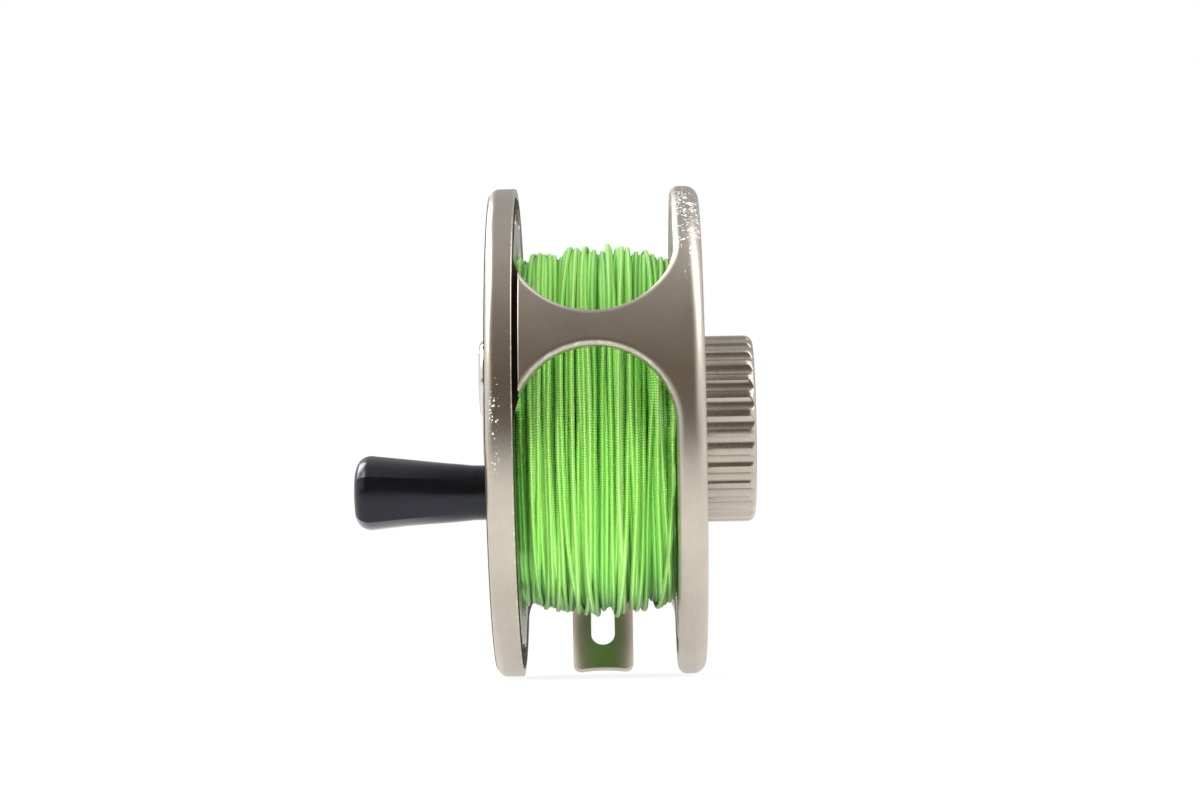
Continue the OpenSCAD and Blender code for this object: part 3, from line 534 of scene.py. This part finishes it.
def cage_frame():
    """Back plate, wall and lip turned in one with the drag housing and the boss, then cut."""
    bore, boss_in, boss_r, seal_r = 3.02, 11.8, 14.8, 0.72
    drum_in, drum_r, drum_top = 17.1, 20.5, 12.1
    ports, port_r, port_ring, small_port_r, small_port_ring = 15, 5.0, 37.0, 2.8, 24.2
    pin_r, pin_ring, screw_r, screw_ring = 1.46, 9.2, 0.83, 18.8
    detent_r, detent_ring = 0.96, 16.875
    groove = [(boss_r - seal_r * math.cos(t), seal_r * math.sin(t) - BOSS_H / 2, 0)
              for t in np.radians(np.linspace(-85, 85, 9))]
    body = turned_solid([
        (bore, 0, 0.1), (boss_in, 0, 0), (boss_in, -BOSS_H, 0.2), (boss_r, -BOSS_H, 0.4), *groove,
        (boss_r, 0, 0), (RIM_R, 0, 2.7), (RIM_R, CAGE_TOP, 0.32), (LIP_R, CAGE_TOP, 0),
        (LIP_R, LIP_TOP, 0.2), (CAGE_IN, LIP_TOP, 0.2), (CAGE_IN, BEZEL_TOP, 0),
        (BEZEL_R, BEZEL_TOP, 0.5), (BEZEL_R, BACK_T, 0.3), (drum_r, BACK_T, 0.3),
        (drum_r, drum_top, 0.2), (drum_in, drum_top, 0.2), (drum_in, BACK_T, 0),
        (bore, BACK_T, 0.1)], "cage_frame")
    cutters = [window_cutter(*UPPER_WINDOW), window_cutter(*LOWER_WINDOW)]
    cutters += [hole_cutter(*spot, port_r, 0, BACK_T, 0.5, 0.3)
                for spot in around(ports, port_ring)]
    cutters += [hole_cutter(*spot, small_port_r, 0, BACK_T, 0.4, 0.3, n=32)
                for spot in around(ports, small_port_ring, 180 / ports)]
    cutters += [hole_cutter(*spot, pin_r, 0, BACK_T, 0.1, 0.1, n=24)
                for spot in around(3, pin_ring)]
    cutters += [blind_hole(*spot, screw_r, 8.8, drum_top + 0.5)
                for spot in around(6, screw_ring, 10)]
    cutters += [blind_hole(*spot, detent_r, -0.5, 2.6) for spot in around(1, detent_ring)]
    finished(body, cutters, "frame", "frame_metal", ["frame"], frame_wear_and_gap_shade)


cage_frame()


# ---- The spool ----

HANDLE_R, HANDLE_A = 36.5, -22.0        # where the handle's post stands
PAD_R, PAD_TOP = 6.6, 42.0
FLANGE_LO, FLANGE_HI = 4.3, 5.7         # the rear flange's faces
LINE_HI, PLATE_TOP = 37.1, 39.9         # the front plate's faces


def spool_worn(r, z, out, along):
    """The rim's rear edge is lightly rubbed, and the ports' and slots' mouths more."""
    rim = (r > 48.2) & (z < 38)
    mouths = r < 46.5
    return np.where(on_edge(along), np.where(rim, 0.35, np.where(mouths, 0.5, 0.0)), 0.0)


def pad(phi, segments=96):
    """The round pad that the handle's post or the counterweight stands on."""
    base, hub = LINE_HI + 0.5, 0.5
    outline = rounded([(PAD_R, base, 0), (PAD_R, PAD_TOP, 0.4), (hub, PAD_TOP, 0)])
    turn = np.arange(segments) * 360 / segments
    rings = cyl(outline[:, None, 0], turn[None, :], outline[:, None, 1])
    rings[..., :2] += at(HANDLE_R, phi)
    ends = [(*at(HANDLE_R, phi), z) for z in (base, PAD_TOP)]
    points = np.concatenate([rings.reshape(-1, 3), ends])
    faces = side_faces(len(outline), segments).tolist()
    low, high = len(points) - 2, len(points) - 1
    last_ring = low - segments
    for j in range(segments):
        k = (j + 1) % segments
        faces += [[low, k, j], [high, last_ring + j, last_ring + k]]
    return solid_object(points, faces, "pad")


def spool_body():
    """Arbor, rear flange, front plate, web and rim, turned in one with the hub's sleeve."""
    flange_r, arbor_r, arbor_in, plate_r = 43.0, 24.4, 22.6, 45.2
    web_z, rim_in, face = 39.9, 48.4, 42.55
    hub_r, hub_lo, hub_top = 13.3, 16.5, 41.0
    seat_r, shoulder_r, shell_r = 6.5, 5.5, 11.65       # of the bearings, between them, the clutch
    front_seat, front_shoulder, rear_seat, shell_top = 36.0, 31.6, 26.5, 25.0
    body = turned_solid([
        (seat_r, hub_top, 0.15), (seat_r, front_seat, 0), (shoulder_r, front_seat, 0),
        (shoulder_r, front_shoulder, 0), (seat_r, front_shoulder, 0), (seat_r, rear_seat, 0),
        (shoulder_r, rear_seat, 0), (shoulder_r, shell_top, 0), (shell_r, shell_top, 0),
        (shell_r, hub_lo, 0.1), (hub_r, hub_lo, 0.2), (hub_r, LINE_HI, 0.8),
        (arbor_in, LINE_HI, 0.8), (arbor_in, FLANGE_LO, 0.4), (flange_r, FLANGE_LO, 0.3),
        (flange_r, FLANGE_HI, 0.3), (arbor_r, FLANGE_HI, 0.4), (arbor_r, LINE_HI, 0.4),
        (plate_r, LINE_HI, 0.3), (plate_r, web_z, 0), (rim_in, web_z, 0), (rim_in, LINE_HI, 0.2),
        (RIM_R, LINE_HI, 0.3), (RIM_R, face, 2.0), (rim_in, face, 0.25), (rim_in, PAD_TOP, 0),
        (plate_r - 4, PAD_TOP, 0.4), (plate_r - 4, PLATE_TOP, 0.4), (hub_r, PLATE_TOP, 0.4),
        (hub_r, hub_top, 0.3)], "spool_body")
    return joined(body, [pad(HANDLE_A), pad(HANDLE_A + 180)])


def spool():
    """The spool with its slots, ports and screw holes cut."""
    slots, slot_ring, slot_w = 12, 45.0, 3.0
    ports, port_ring, port_r, pad_clearance = 16, 33.8, 4.7, 13.75
    webs, web_ring, web_w = 6, 17.95, 6.9
    flange_ports, flange_port_ring, flange_port_r = 18, 37.3, 3.5
    post_screw_r, weight_screw_r = 1.83, 1.63
    cutters = [slot_cutter(slot_ring, slot_w, 90 + 360 / slots * i, 10.5, LINE_HI, PAD_TOP)
               for i in range(slots)]
    for i in range(ports):
        off = (i + 0.5) * 360 / ports
        if min(off % 180, 180 - off % 180) > pad_clearance:
            cutters.append(hole_cutter(*at(port_ring, HANDLE_A + off), port_r, LINE_HI, PLATE_TOP,
                                       0.4, 0.6))
    cutters += [slot_cutter(web_ring, web_w, HANDLE_A + (i + 0.5) * 360 / webs, 13, LINE_HI,
                            PLATE_TOP, 0.5) for i in range(webs)]
    cutters += [hole_cutter(*spot, flange_port_r, FLANGE_LO, FLANGE_HI, n=36)
                for spot in around(flange_ports, flange_port_ring)]
    cutters += [hole_cutter(*at(HANDLE_R, HANDLE_A + turn), r, LINE_HI, PAD_TOP, 0.2, 0.0, n=24)
                for turn, r in ((0, post_screw_r), (180, weight_screw_r))]
    finished(spool_body(), cutters, "spool", "spool_metal", ["spool"], spool_worn)


spool()


# ---- The drag knob: a turned cap whose scallops meet in soft lands ----

KNOB_R, KNOB_TOP, KNOB_FACE = 19.1, -0.45, -10.65
FLUTES, FLUTE_R, FLUTE_AT = 31, 1.7, 20.15      # how many, their radius, and where they centre
LAND_EASE = 0.14                                # how softly a land bends into its scallops


def scalloped(r, steps=12):
    """Radius and angle round the knob: r between the scallops, eased into them at the lands."""
    turn = np.arange(FLUTES * steps) * 2 * math.pi / (FLUTES * steps)
    off = (turn + math.pi / FLUTES) % (2 * math.pi / FLUTES) - math.pi / FLUTES
    beside = FLUTE_AT * np.sin(off)
    deep = np.full(len(turn), 2 * FLUTE_AT)
    inside = np.abs(beside) < FLUTE_R
    deep[inside] = FLUTE_AT * np.cos(off[inside]) - np.sqrt(FLUTE_R ** 2 - beside[inside] ** 2)
    blend = np.clip(0.5 + 0.5 * (deep - r) / LAND_EASE, 0, 1)
    soft = deep * (1 - blend) + r * blend - LAND_EASE * blend * (1 - blend)
    return np.minimum(soft, r), np.degrees(turn)


def drag_knob():
    """The cap with its wall, the stem that guides it, and the recess for its screw."""
    fillet, cavity, floor, stem, stem_top = 1.8, 15.4, -7.55, 6.4, -3.0
    bore, recess, recess_floor = 3.06, 4.9, -8.95
    outer = [(KNOB_R - fillet * (1 - math.sin(t)), KNOB_FACE + fillet * (1 - math.cos(t)))
             for t in quarter(10)]
    outer += [(KNOB_R, z) for z in np.linspace(KNOB_FACE + fillet + 0.8, KNOB_TOP - 0.2, 4)]
    outer += [(KNOB_R - 0.06, KNOB_TOP - 0.06), (KNOB_R - 0.2, KNOB_TOP)]
    inner = rounded([(cavity, KNOB_TOP, 0.2), (cavity, floor, 0.5), (stem, floor, 0.5),
                     (stem, stem_top, 0.2), (bore, stem_top, 0.1), (bore, recess_floor, 0),
                     (recess, recess_floor, 0.2), (recess, KNOB_FACE, 0.3)])
    on_face = [(r, KNOB_FACE) for r in (8.0, 13.0)]
    phi = scalloped(KNOB_R)[1]
    rings = [cyl(*scalloped(r), z) for r, z in outer]
    rings += [cyl(r, phi, z) for r, z in (*inner, *on_face)]
    body = rings_solid(rings, name="drag_knob_body")
    finished(body, [], "knob", "knob_metal", ["drag_knob"])


drag_knob()


# ---- The grip: bulging sides that run out before the round collar ----

def handle_grip(sides=5, first=10.5, bulge=0.48, steps=48):
    """A tapered grip. Its sides meet in edges at the outer end and sink into the collar. The
    bulge is how far they swell from flat towards round, and first the angle of one edge."""
    base_r, wide_r, length, edge_round = 5.35, 7.65, 26.0, 3.0
    base_z, collar, run_out = PAD_TOP + 0.35, 3.0, 15.0
    bore, recess, recess_z = 3.1, 4.3, length - 3.1
    outer = [(base_r - 0.3, 0.0), (base_r, 0.3), (base_r, collar - 0.5), (base_r + 0.01, collar)]
    outer += [(base_r + (wide_r - base_r) * t, collar + (length - edge_round - collar) * t)
              for t in np.linspace(0, 1, 24)[1:]]
    outer += [(wide_r - edge_round * (1 - math.cos(t)), length - edge_round * (1 - math.sin(t)))
              for t in quarter(9)[1:]]
    inner = [(recess + 0.3, length), (recess, length - 0.3), (recess, recess_z),
             (bore, recess_z), (bore, 0.2), (bore + 0.2, 0.0)]
    phi = np.arange(sides * steps) * 2 * math.pi / (sides * steps)
    half = math.pi / sides
    off = (phi - math.radians(first) + half) % (2 * half) - half
    rings = []
    for r, z in outer:
        grown = min(max((z - collar) / run_out, 0.0), 1.0)
        flat = r * math.cos(half) / np.cos(off)
        deep = (1 - bulge) * grown * grown * (3 - 2 * grown)
        rings.append(cyl(r - (r - flat) * deep, np.degrees(phi) + HANDLE_A, z + base_z))
    rings += [cyl(r, np.degrees(phi) + HANDLE_A, z + base_z) for r, z in inner]
    rings = np.array(rings)
    rings[..., :2] += at(HANDLE_R, HANDLE_A)
    finished(rings_solid(rings, name="moulded_grip"), [], "handle", "grip_black", ["handle_grip"])


handle_grip()


# ---- Eased edges on the machined CAD nodes that keep their shape ----

EDGES = {"reel_foot": 0.3, "counterweight": 0.15, "spool_cap": 0.15, "knob_screw": 0.12,
         "handle_post": 0.12, "foot_screws": 0.1}
for name, width in EDGES.items():
    eased = NODES[name].modifiers.new("eased", "BEVEL")
    eased.width, eased.segments, eased.limit_method = width * MM, 3, "ANGLE"
    eased.angle_limit, eased.use_clamp_overlap = math.radians(50), True
    eased.harden_normals = False


# ---- The wound line: one strand laid turn by turn on what lies under it ----

LINE_D = 0.98           # width of the braid, in mm
LINE_FLAT = 0.86        # its height as a share of its width
LINE_SINK = 0.10        # how far a strand presses into those it crosses
CROWN_R, CROWN_DROP = 37.3, 2.4
PASSES = ((31, 0.2), (31, 0.7), (30, 1.3), (29, 1.9))   # turns, and how far each wanders in mm
BED = 3.1               # how far the passes build up, from the bed they lie on to the crown
SWAYS = ((3, 0.55), (7, 0.14))          # knots per turn, and share of the pass's wander
REBOUND = 1.8           # how strongly a flange turns a wandering strand back
TURN_STEPS = 144
SIDES = 8
COLUMN = 0.1            # spacing of the columns that record how high the line has grown
SLIDE = 4               # how many columns a strand may slide to lie lower
SLIDE_COST = 0.03       # rise that a slide of one column has to save
TUCK = 2.6              # how far the loose end dips under its neighbours
BRAID_PITCH = 1.05      # length of one turn of a tow, in mm
BRAID_TOWS = 2          # crossings round the strand


def smooth_walk(count, knots, reach):
    """A seeded curve through random heights at evenly spaced knots."""
    marks = rng.normal(0.0, reach, knots + 3)
    t = np.linspace(0, knots, count, endpoint=False)
    i, f = t.astype(int), t - t.astype(int)
    a, b, c, d = marks[i], marks[i + 1], marks[i + 2], marks[np.minimum(i + 3, knots + 2)]
    return b + 0.5 * f * (c - a + f * (2 * a - 5 * b + 4 * c - d + f * (3 * (b - c) + d - a)))


def box_blur(values, width, rounds=3):
    """A running mean along the strand, its ends held."""
    kernel = np.ones(2 * width + 1) / (2 * width + 1)
    for _ in range(rounds):
        values = np.convolve(np.pad(values, width, mode="edge"), kernel, mode="valid")
    return values


def line_places(lo, hi):
    """Where along the spindle the strand lies: level passes from flange to flange and back."""
    places = []
    for k, (turns, wander) in enumerate(PASSES):
        count = turns * TURN_STEPS
        level = np.linspace(lo, hi, count) if k % 2 == 0 else np.linspace(hi, lo, count)
        for knots, share in SWAYS:
            level = level + smooth_walk(count, turns * knots, wander * share)
        places.append(level)
    places = box_blur(np.concatenate(places), 5)
    over, under = np.maximum(places - hi, 0), np.maximum(lo - places, 0)
    return np.clip(places - REBOUND * over + REBOUND * under, lo, hi)


def settled(place, grown, offsets, hump, flange_lo):
    """How many columns each point of a turn slides, to lie as low as it can."""
    rows = np.arange(TURN_STEPS)[:, None]
    column = np.round((place - flange_lo) / COLUMN).astype(int)
    reach = offsets[-1]
    best, best_height = None, None
    for shift in range(-SLIDE, SLIDE + 1):
        under = np.clip(column + shift, reach, grown.shape[1] - 1 - reach)[:, None] + offsets
        height = (grown[rows, under] + hump).max(axis=1) + SLIDE_COST * abs(shift)
        if best is None:
            best, best_height = np.full(TURN_STEPS, shift), height
        else:
            best = np.where(height < best_height, shift, best)
            best_height = np.minimum(height, best_height)
    return best


def pulled_taut(rest):
    """The turn's radius when it spans the hollows under it and sinks into what it crosses."""
    rest = np.pad(rest, 16, mode="wrap")
    taut = rest
    for _ in range(4):
        taut = np.maximum(box_blur(taut, 3, 1), rest - LINE_SINK)
    return taut[16:-16] - LINE_SINK


def lay_line(flange_lo, flange_hi):
    """Radius and place of every point of the strand, each laid on the turns below it."""
    half_w, half_h = LINE_D / 2, LINE_D * LINE_FLAT / 2
    lo, hi = flange_lo + half_w + 0.05, flange_hi - half_w - 0.05
    place = line_places(lo, hi)
    columns = np.arange(flange_lo, flange_hi + COLUMN, COLUMN)
    middle, half = (flange_lo + flange_hi) / 2, (flange_hi - flange_lo) / 2
    crown = CROWN_R - CROWN_DROP * ((columns - middle) / half) ** 2
    grown = np.tile(crown - BED, (TURN_STEPS, 1))
    reach = int(half_w / COLUMN)
    offsets = np.arange(-reach, reach + 1)
    hump = half_h * np.sqrt(1 - (offsets * COLUMN / half_w) ** 2)
    rows = np.arange(TURN_STEPS)[:, None]
    radius = np.empty(len(place))
    for turn in range(len(place) // TURN_STEPS):
        span = slice(turn * TURN_STEPS, (turn + 1) * TURN_STEPS)
        shift = settled(place[span], grown, offsets, hump, flange_lo).astype(float)
        slide = box_blur(np.pad(shift, 12, mode="wrap"), 4)[12:-12] * COLUMN
        place[span] = np.clip(place[span] + slide, lo, hi)
        column = np.clip(np.round((place[span] - flange_lo) / COLUMN).astype(int), reach,
                         len(columns) - 1 - reach)
        under = column[:, None] + offsets
        radius[span] = pulled_taut((grown[rows, under] + hump).max(axis=1))
        np.maximum.at(grown, (rows, under), radius[span][:, None] + hump)
    radius, place = box_blur(radius, 2, 2), box_blur(place, 3, 2)
    tuck = np.linspace(0, 1, TURN_STEPS // 4)
    radius[-len(tuck):] -= TUCK * tuck ** 2
    return radius, place


def braided(name, colour):
    """Bright braid: crossing tows in the bump, with painted shade between the tows, a paler green
    as painted light and a deeper green as painted shade.
    """
    paint = Paint(name, colour, roughness=0.36, **{
        "Subsurface Weight": 0.25, "Subsurface Radius": (0.25, 1.0, 0.15),
        "Subsurface Scale": 0.0007, "Sheen Weight": 0.25, "Sheen Roughness": 0.4,
        "Specular IOR Level": 0.75})
    uv = paint.node("ShaderNodeUVMap", uv_map="strand")
    along, round_it = (paint.node("ShaderNodeSeparateXYZ", uv, out=i) for i in (0, 1))
    tows = []
    for sign in (1, -1):
        turn = paint.math("ADD", paint.math("MULTIPLY", along, 2 * math.pi / BRAID_PITCH),
                          paint.math("MULTIPLY", round_it, sign * 2 * math.pi * BRAID_TOWS))
        tows.append(paint.math("SINE", turn))
    weave = paint.math("MULTIPLY_ADD", paint.math("MULTIPLY", *tows), 0.5, 0.5)
    fibre = paint.noise(paint.place(), scale=7000.0, detail=2.0)
    tone_and_painted_light = paint.attribute("tone_and_painted_light")
    # Painted light: where the strand's attribute is low, the green turns deeper as painted shade,
    # and where it is high, paler as painted highlight.
    deep, lit_colour = (tuple(c * k for c, k in zip(colour, ks))
                  for ks in ((0.45, 0.66, 0.55), (1.5, 1.10, 1.9)))
    tint = paint.mix(paint.ramp(tone_and_painted_light, 0.0, 0.5), deep, colour)
    tint = paint.mix(paint.ramp(tone_and_painted_light, 0.5, 1.0), tint, lit_colour)
    # Painted shade between the braid's tows: the low parts of the weave are darkened.
    shade_between_tows = paint.node("ShaderNodeVectorMath", tint, (0.24, 0.42, 0.24), operation="MULTIPLY")
    paint.set("Base Color", paint.mix(paint.ramp(weave, 0.15, 0.55), shade_between_tows, tint))
    paint.set("Roughness", paint.ramp(fibre, 0.3, 0.7, 0.30, 0.46))
    paint.bump(paint.math("ADD", weave, paint.math("MULTIPLY", fibre, 0.25)), distance=1.8e-4)
    return paint.material


def wound_line():
    """The strand as one tube, its cross-section an oval that lies flat on the spool."""
    lo, hi = depth_of("line_core")
    radius, place = lay_line(lo - 0.02, hi + 0.02)
    count = len(radius)
    angle = np.arange(count) * 2 * math.pi / TURN_STEPS
    path = np.stack([radius * np.cos(angle), radius * np.sin(angle), place], -1)
    along = np.gradient(path, axis=0)
    along /= np.linalg.norm(along, axis=1, keepdims=True)
    out = np.stack([np.cos(angle), np.sin(angle), np.zeros(count)], -1)
    out -= along * (out * along).sum(axis=1, keepdims=True)
    out /= np.linalg.norm(out, axis=1, keepdims=True)
    side = np.cross(along, out)
    turn = np.arange(SIDES) * 2 * math.pi / SIDES + math.pi
    width = (LINE_D / 2 * (1 + 0.06 * box_blur(rng.normal(0, 3, count), 4)))[:, None, None]
    c, s = np.cos(turn)[None, :, None], np.sin(turn)[None, :, None]
    points = path[:, None] + width * (LINE_FLAT * c * out[:, None] + s * side[:, None])
    faces = side_faces(count, SIDES)
    caps = [list(range(SIDES)), [(count - 1) * SIDES + v for v in range(SIDES)][::-1]]
    mesh = bpy.data.meshes.new("wound_line")
    mesh.from_pydata(to_world(points.reshape(-1, 3)).tolist(), [], faces.tolist() + caps)
    mesh.polygons.foreach_set("use_smooth", [True] * len(mesh.polygons))

    length = np.concatenate([[0], np.cumsum(np.linalg.norm(np.diff(path, axis=0), axis=1))])
    i, j = np.repeat(np.arange(count - 1), SIDES), np.tile(np.arange(SIDES), count - 1)
    uv = np.zeros((len(mesh.loops), 2))
    uv[:len(faces) * 4] = np.stack([length[np.stack([i, i, i + 1, i + 1], -1)],
                                    np.stack([j, j + 1, j + 1, j], -1) / SIDES], -1).reshape(-1, 2)
    mesh.uv_layers.new(name="strand").data.foreach_set("uv", uv.reshape(-1))

    # Painted light in the strand's attribute: strands lying lower than the crown get painted shade,
    # strands in the middle of the width get painted highlight, and a random walk adds real tone.
    off_middle = (place - (lo + hi) / 2) / ((hi - lo) / 2)
    top = CROWN_R - CROWN_DROP * off_middle ** 2
    tone_and_painted_light = np.clip(0.30 + 0.16 * (radius - top + 0.2) + 0.34 * (1 - np.abs(off_middle))
                    + smooth_walk(count, count // 260, 0.14), 0, 1)
    data = mesh.attributes.new("tone_and_painted_light", "FLOAT", "POINT").data
    data.foreach_set("value", np.repeat(tone_and_painted_light, SIDES).astype(np.float32))
    mesh.validate()
    line = bpy.data.objects.new("wound_line", mesh)
    bpy.context.scene.collection.objects.link(line)
    mesh.materials.append(braided("line_braid", (0.335, 0.82, 0.117)))
    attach(line, "spool")
    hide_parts("line_winding", "line_core")


wound_line()


# ---- Stage, lights and camera ----

def white_floor(half=4.0, drop=0.0003, glow=0.82, eye_glow=1.06):
    """A white floor: mostly its own glow to the eye and in reflections, with the shadow kept.
    In reflections the glow sinks with the distance in front of the reel."""
    dim_at, full_at, dim, full = -0.32, -0.11, 0.10, 0.96
    mesh = bpy.data.meshes.new("floor")
    mesh.from_pydata([(-half, -half, -drop), (half, -half, -drop), (half, half, -drop),
                      (-half, half, -drop)], [], [(0, 1, 2, 3)])
    floor = bpy.data.objects.new("floor", mesh)
    bpy.context.scene.collection.objects.link(floor)
    paint = Paint("floor_white", (0.90, 0.90, 0.90), roughness=1.0, **{"Specular IOR Level": 0.0})
    rays = paint.tree.nodes.new("ShaderNodeLightPath").outputs
    eye, mirror = rays["Is Camera Ray"], rays["Is Glossy Ray"]
    ahead = paint.node("ShaderNodeSeparateXYZ", paint.place(), out=1)
    sunk = paint.ramp(ahead, dim_at, full_at, dim, full)
    strength = paint.math("MAXIMUM", sunk, paint.math("MULTIPLY", eye, eye_glow))
    emit = paint.named("ShaderNodeEmission", "Emission", Strength=strength)
    far = paint.node("ShaderNodeVectorMath", paint.place(), operation="LENGTH", out=1)
    share = paint.math("MULTIPLY", paint.math("MAXIMUM", eye, mirror),
                       paint.ramp(far, 0.2, 0.6, glow, 1.0))
    both = paint.node("ShaderNodeMixShader", share, paint.shader.outputs[0], emit)
    surface = next(n for n in paint.tree.nodes if n.type == "OUTPUT_MATERIAL").inputs["Surface"]
    paint.put(both, surface)
    mesh.materials.append(paint.material)


def studio_world(ahead=(0.125, 0.094, 0.054), behind=(0.44, 0.44, 0.45), beside=(1.0, 1.0, 1.0)):
    """A room that is white where the eye looks past the reel, dim and warm ahead of it, and
    bright beside it."""
    world = bpy.data.worlds.new("studio")
    bpy.context.scene.world = world
    world.use_nodes = True
    sky = Shading(world.node_tree)
    way = sky.node("ShaderNodeTexCoord")
    across, along = (sky.node("ShaderNodeSeparateXYZ", way, out=i) for i in (0, 1))
    level = sky.mix(sky.ramp(along, -1.0, 0.1), ahead, behind)
    level = sky.mix(sky.ramp(sky.math("ABSOLUTE", across), 0.45, 0.85), level, beside)
    level = sky.mix(sky.node("ShaderNodeLightPath"), level, (1.0, 1.0, 1.0))
    sky.put(level, sky.tree.nodes["Background"].inputs["Color"])


def soft_box(name, place, aim, size, radiance, mirrored=True):
    """A rectangular lamp of the given radiance, turned to the point it lights. One that isn't
    mirrored leaves no reflection in the metal."""
    lamp = bpy.data.lights.new(name, "AREA")
    lamp.shape = "RECTANGLE"
    lamp.size, lamp.size_y = size
    lamp.energy = radiance * math.pi * size[0] * size[1]
    obj = bpy.data.objects.new(name, lamp)
    bpy.context.scene.collection.objects.link(obj)
    obj.visible_glossy = mirrored
    obj.location = place
    obj.rotation_euler = (Vector(aim) - Vector(place)).to_track_quat("-Z", "Y").to_euler()


def camera_from(place, yaw, pitch, roll, focal_px, width_px=1200, sensor=36.0):
    """A camera at place that looks along +Y, turned to -X by yaw and up by pitch, in degrees."""
    yaw, pitch, roll = (math.radians(v) for v in (yaw, pitch, roll))
    forward = Vector((-math.sin(yaw) * math.cos(pitch), math.cos(yaw) * math.cos(pitch),
                      math.sin(pitch)))
    right = Vector((math.cos(yaw), math.sin(yaw), 0))
    up = right.cross(forward)
    right, up = (right * math.cos(roll) + up * math.sin(roll),
                 up * math.cos(roll) - right * math.sin(roll))
    data = bpy.data.cameras.new("camera")
    data.sensor_width, data.lens = sensor, focal_px / width_px * sensor
    data.clip_start = 0.01
    camera = bpy.data.objects.new("camera", data)
    camera.matrix_world = (Matrix.Translation(place)
                           @ Matrix((right, up, -forward)).transposed().to_4x4())
    bpy.context.scene.collection.objects.link(camera)
    bpy.context.scene.camera = camera


white_floor()
studio_world()
CENTRE = (0.0, 0.0, 0.05)
soft_box("top_box", (0.36, 0.05, 1.05), CENTRE, (0.5, 0.4), 1.0)
soft_box("left_box", (-0.80, -0.05, 0.90), CENTRE, (0.8, 0.9), 3.2)
soft_box("right_box", (0.80, -0.05, 0.85), CENTRE, (0.8, 0.9), 2.0)
soft_box("key_box", (-0.08, -0.22, 1.24), CENTRE, (0.7, 0.4), 12.5, mirrored=False)
soft_box("low_box", (0.0, -0.072, 0.003), (0.0, -0.071, 1.0), (0.30, 0.085), 1.9, mirrored=False)
soft_box("glint_box", (-0.55, 0.65, 0.70), CENTRE, (0.35, 0.5), 5.0)
camera_from((0.014167, -0.66805, 0.009986), yaw=0.528, pitch=4.013, roll=-1.022, focal_px=3220.5)
bpy.context.scene.view_settings.view_transform = "Standard"
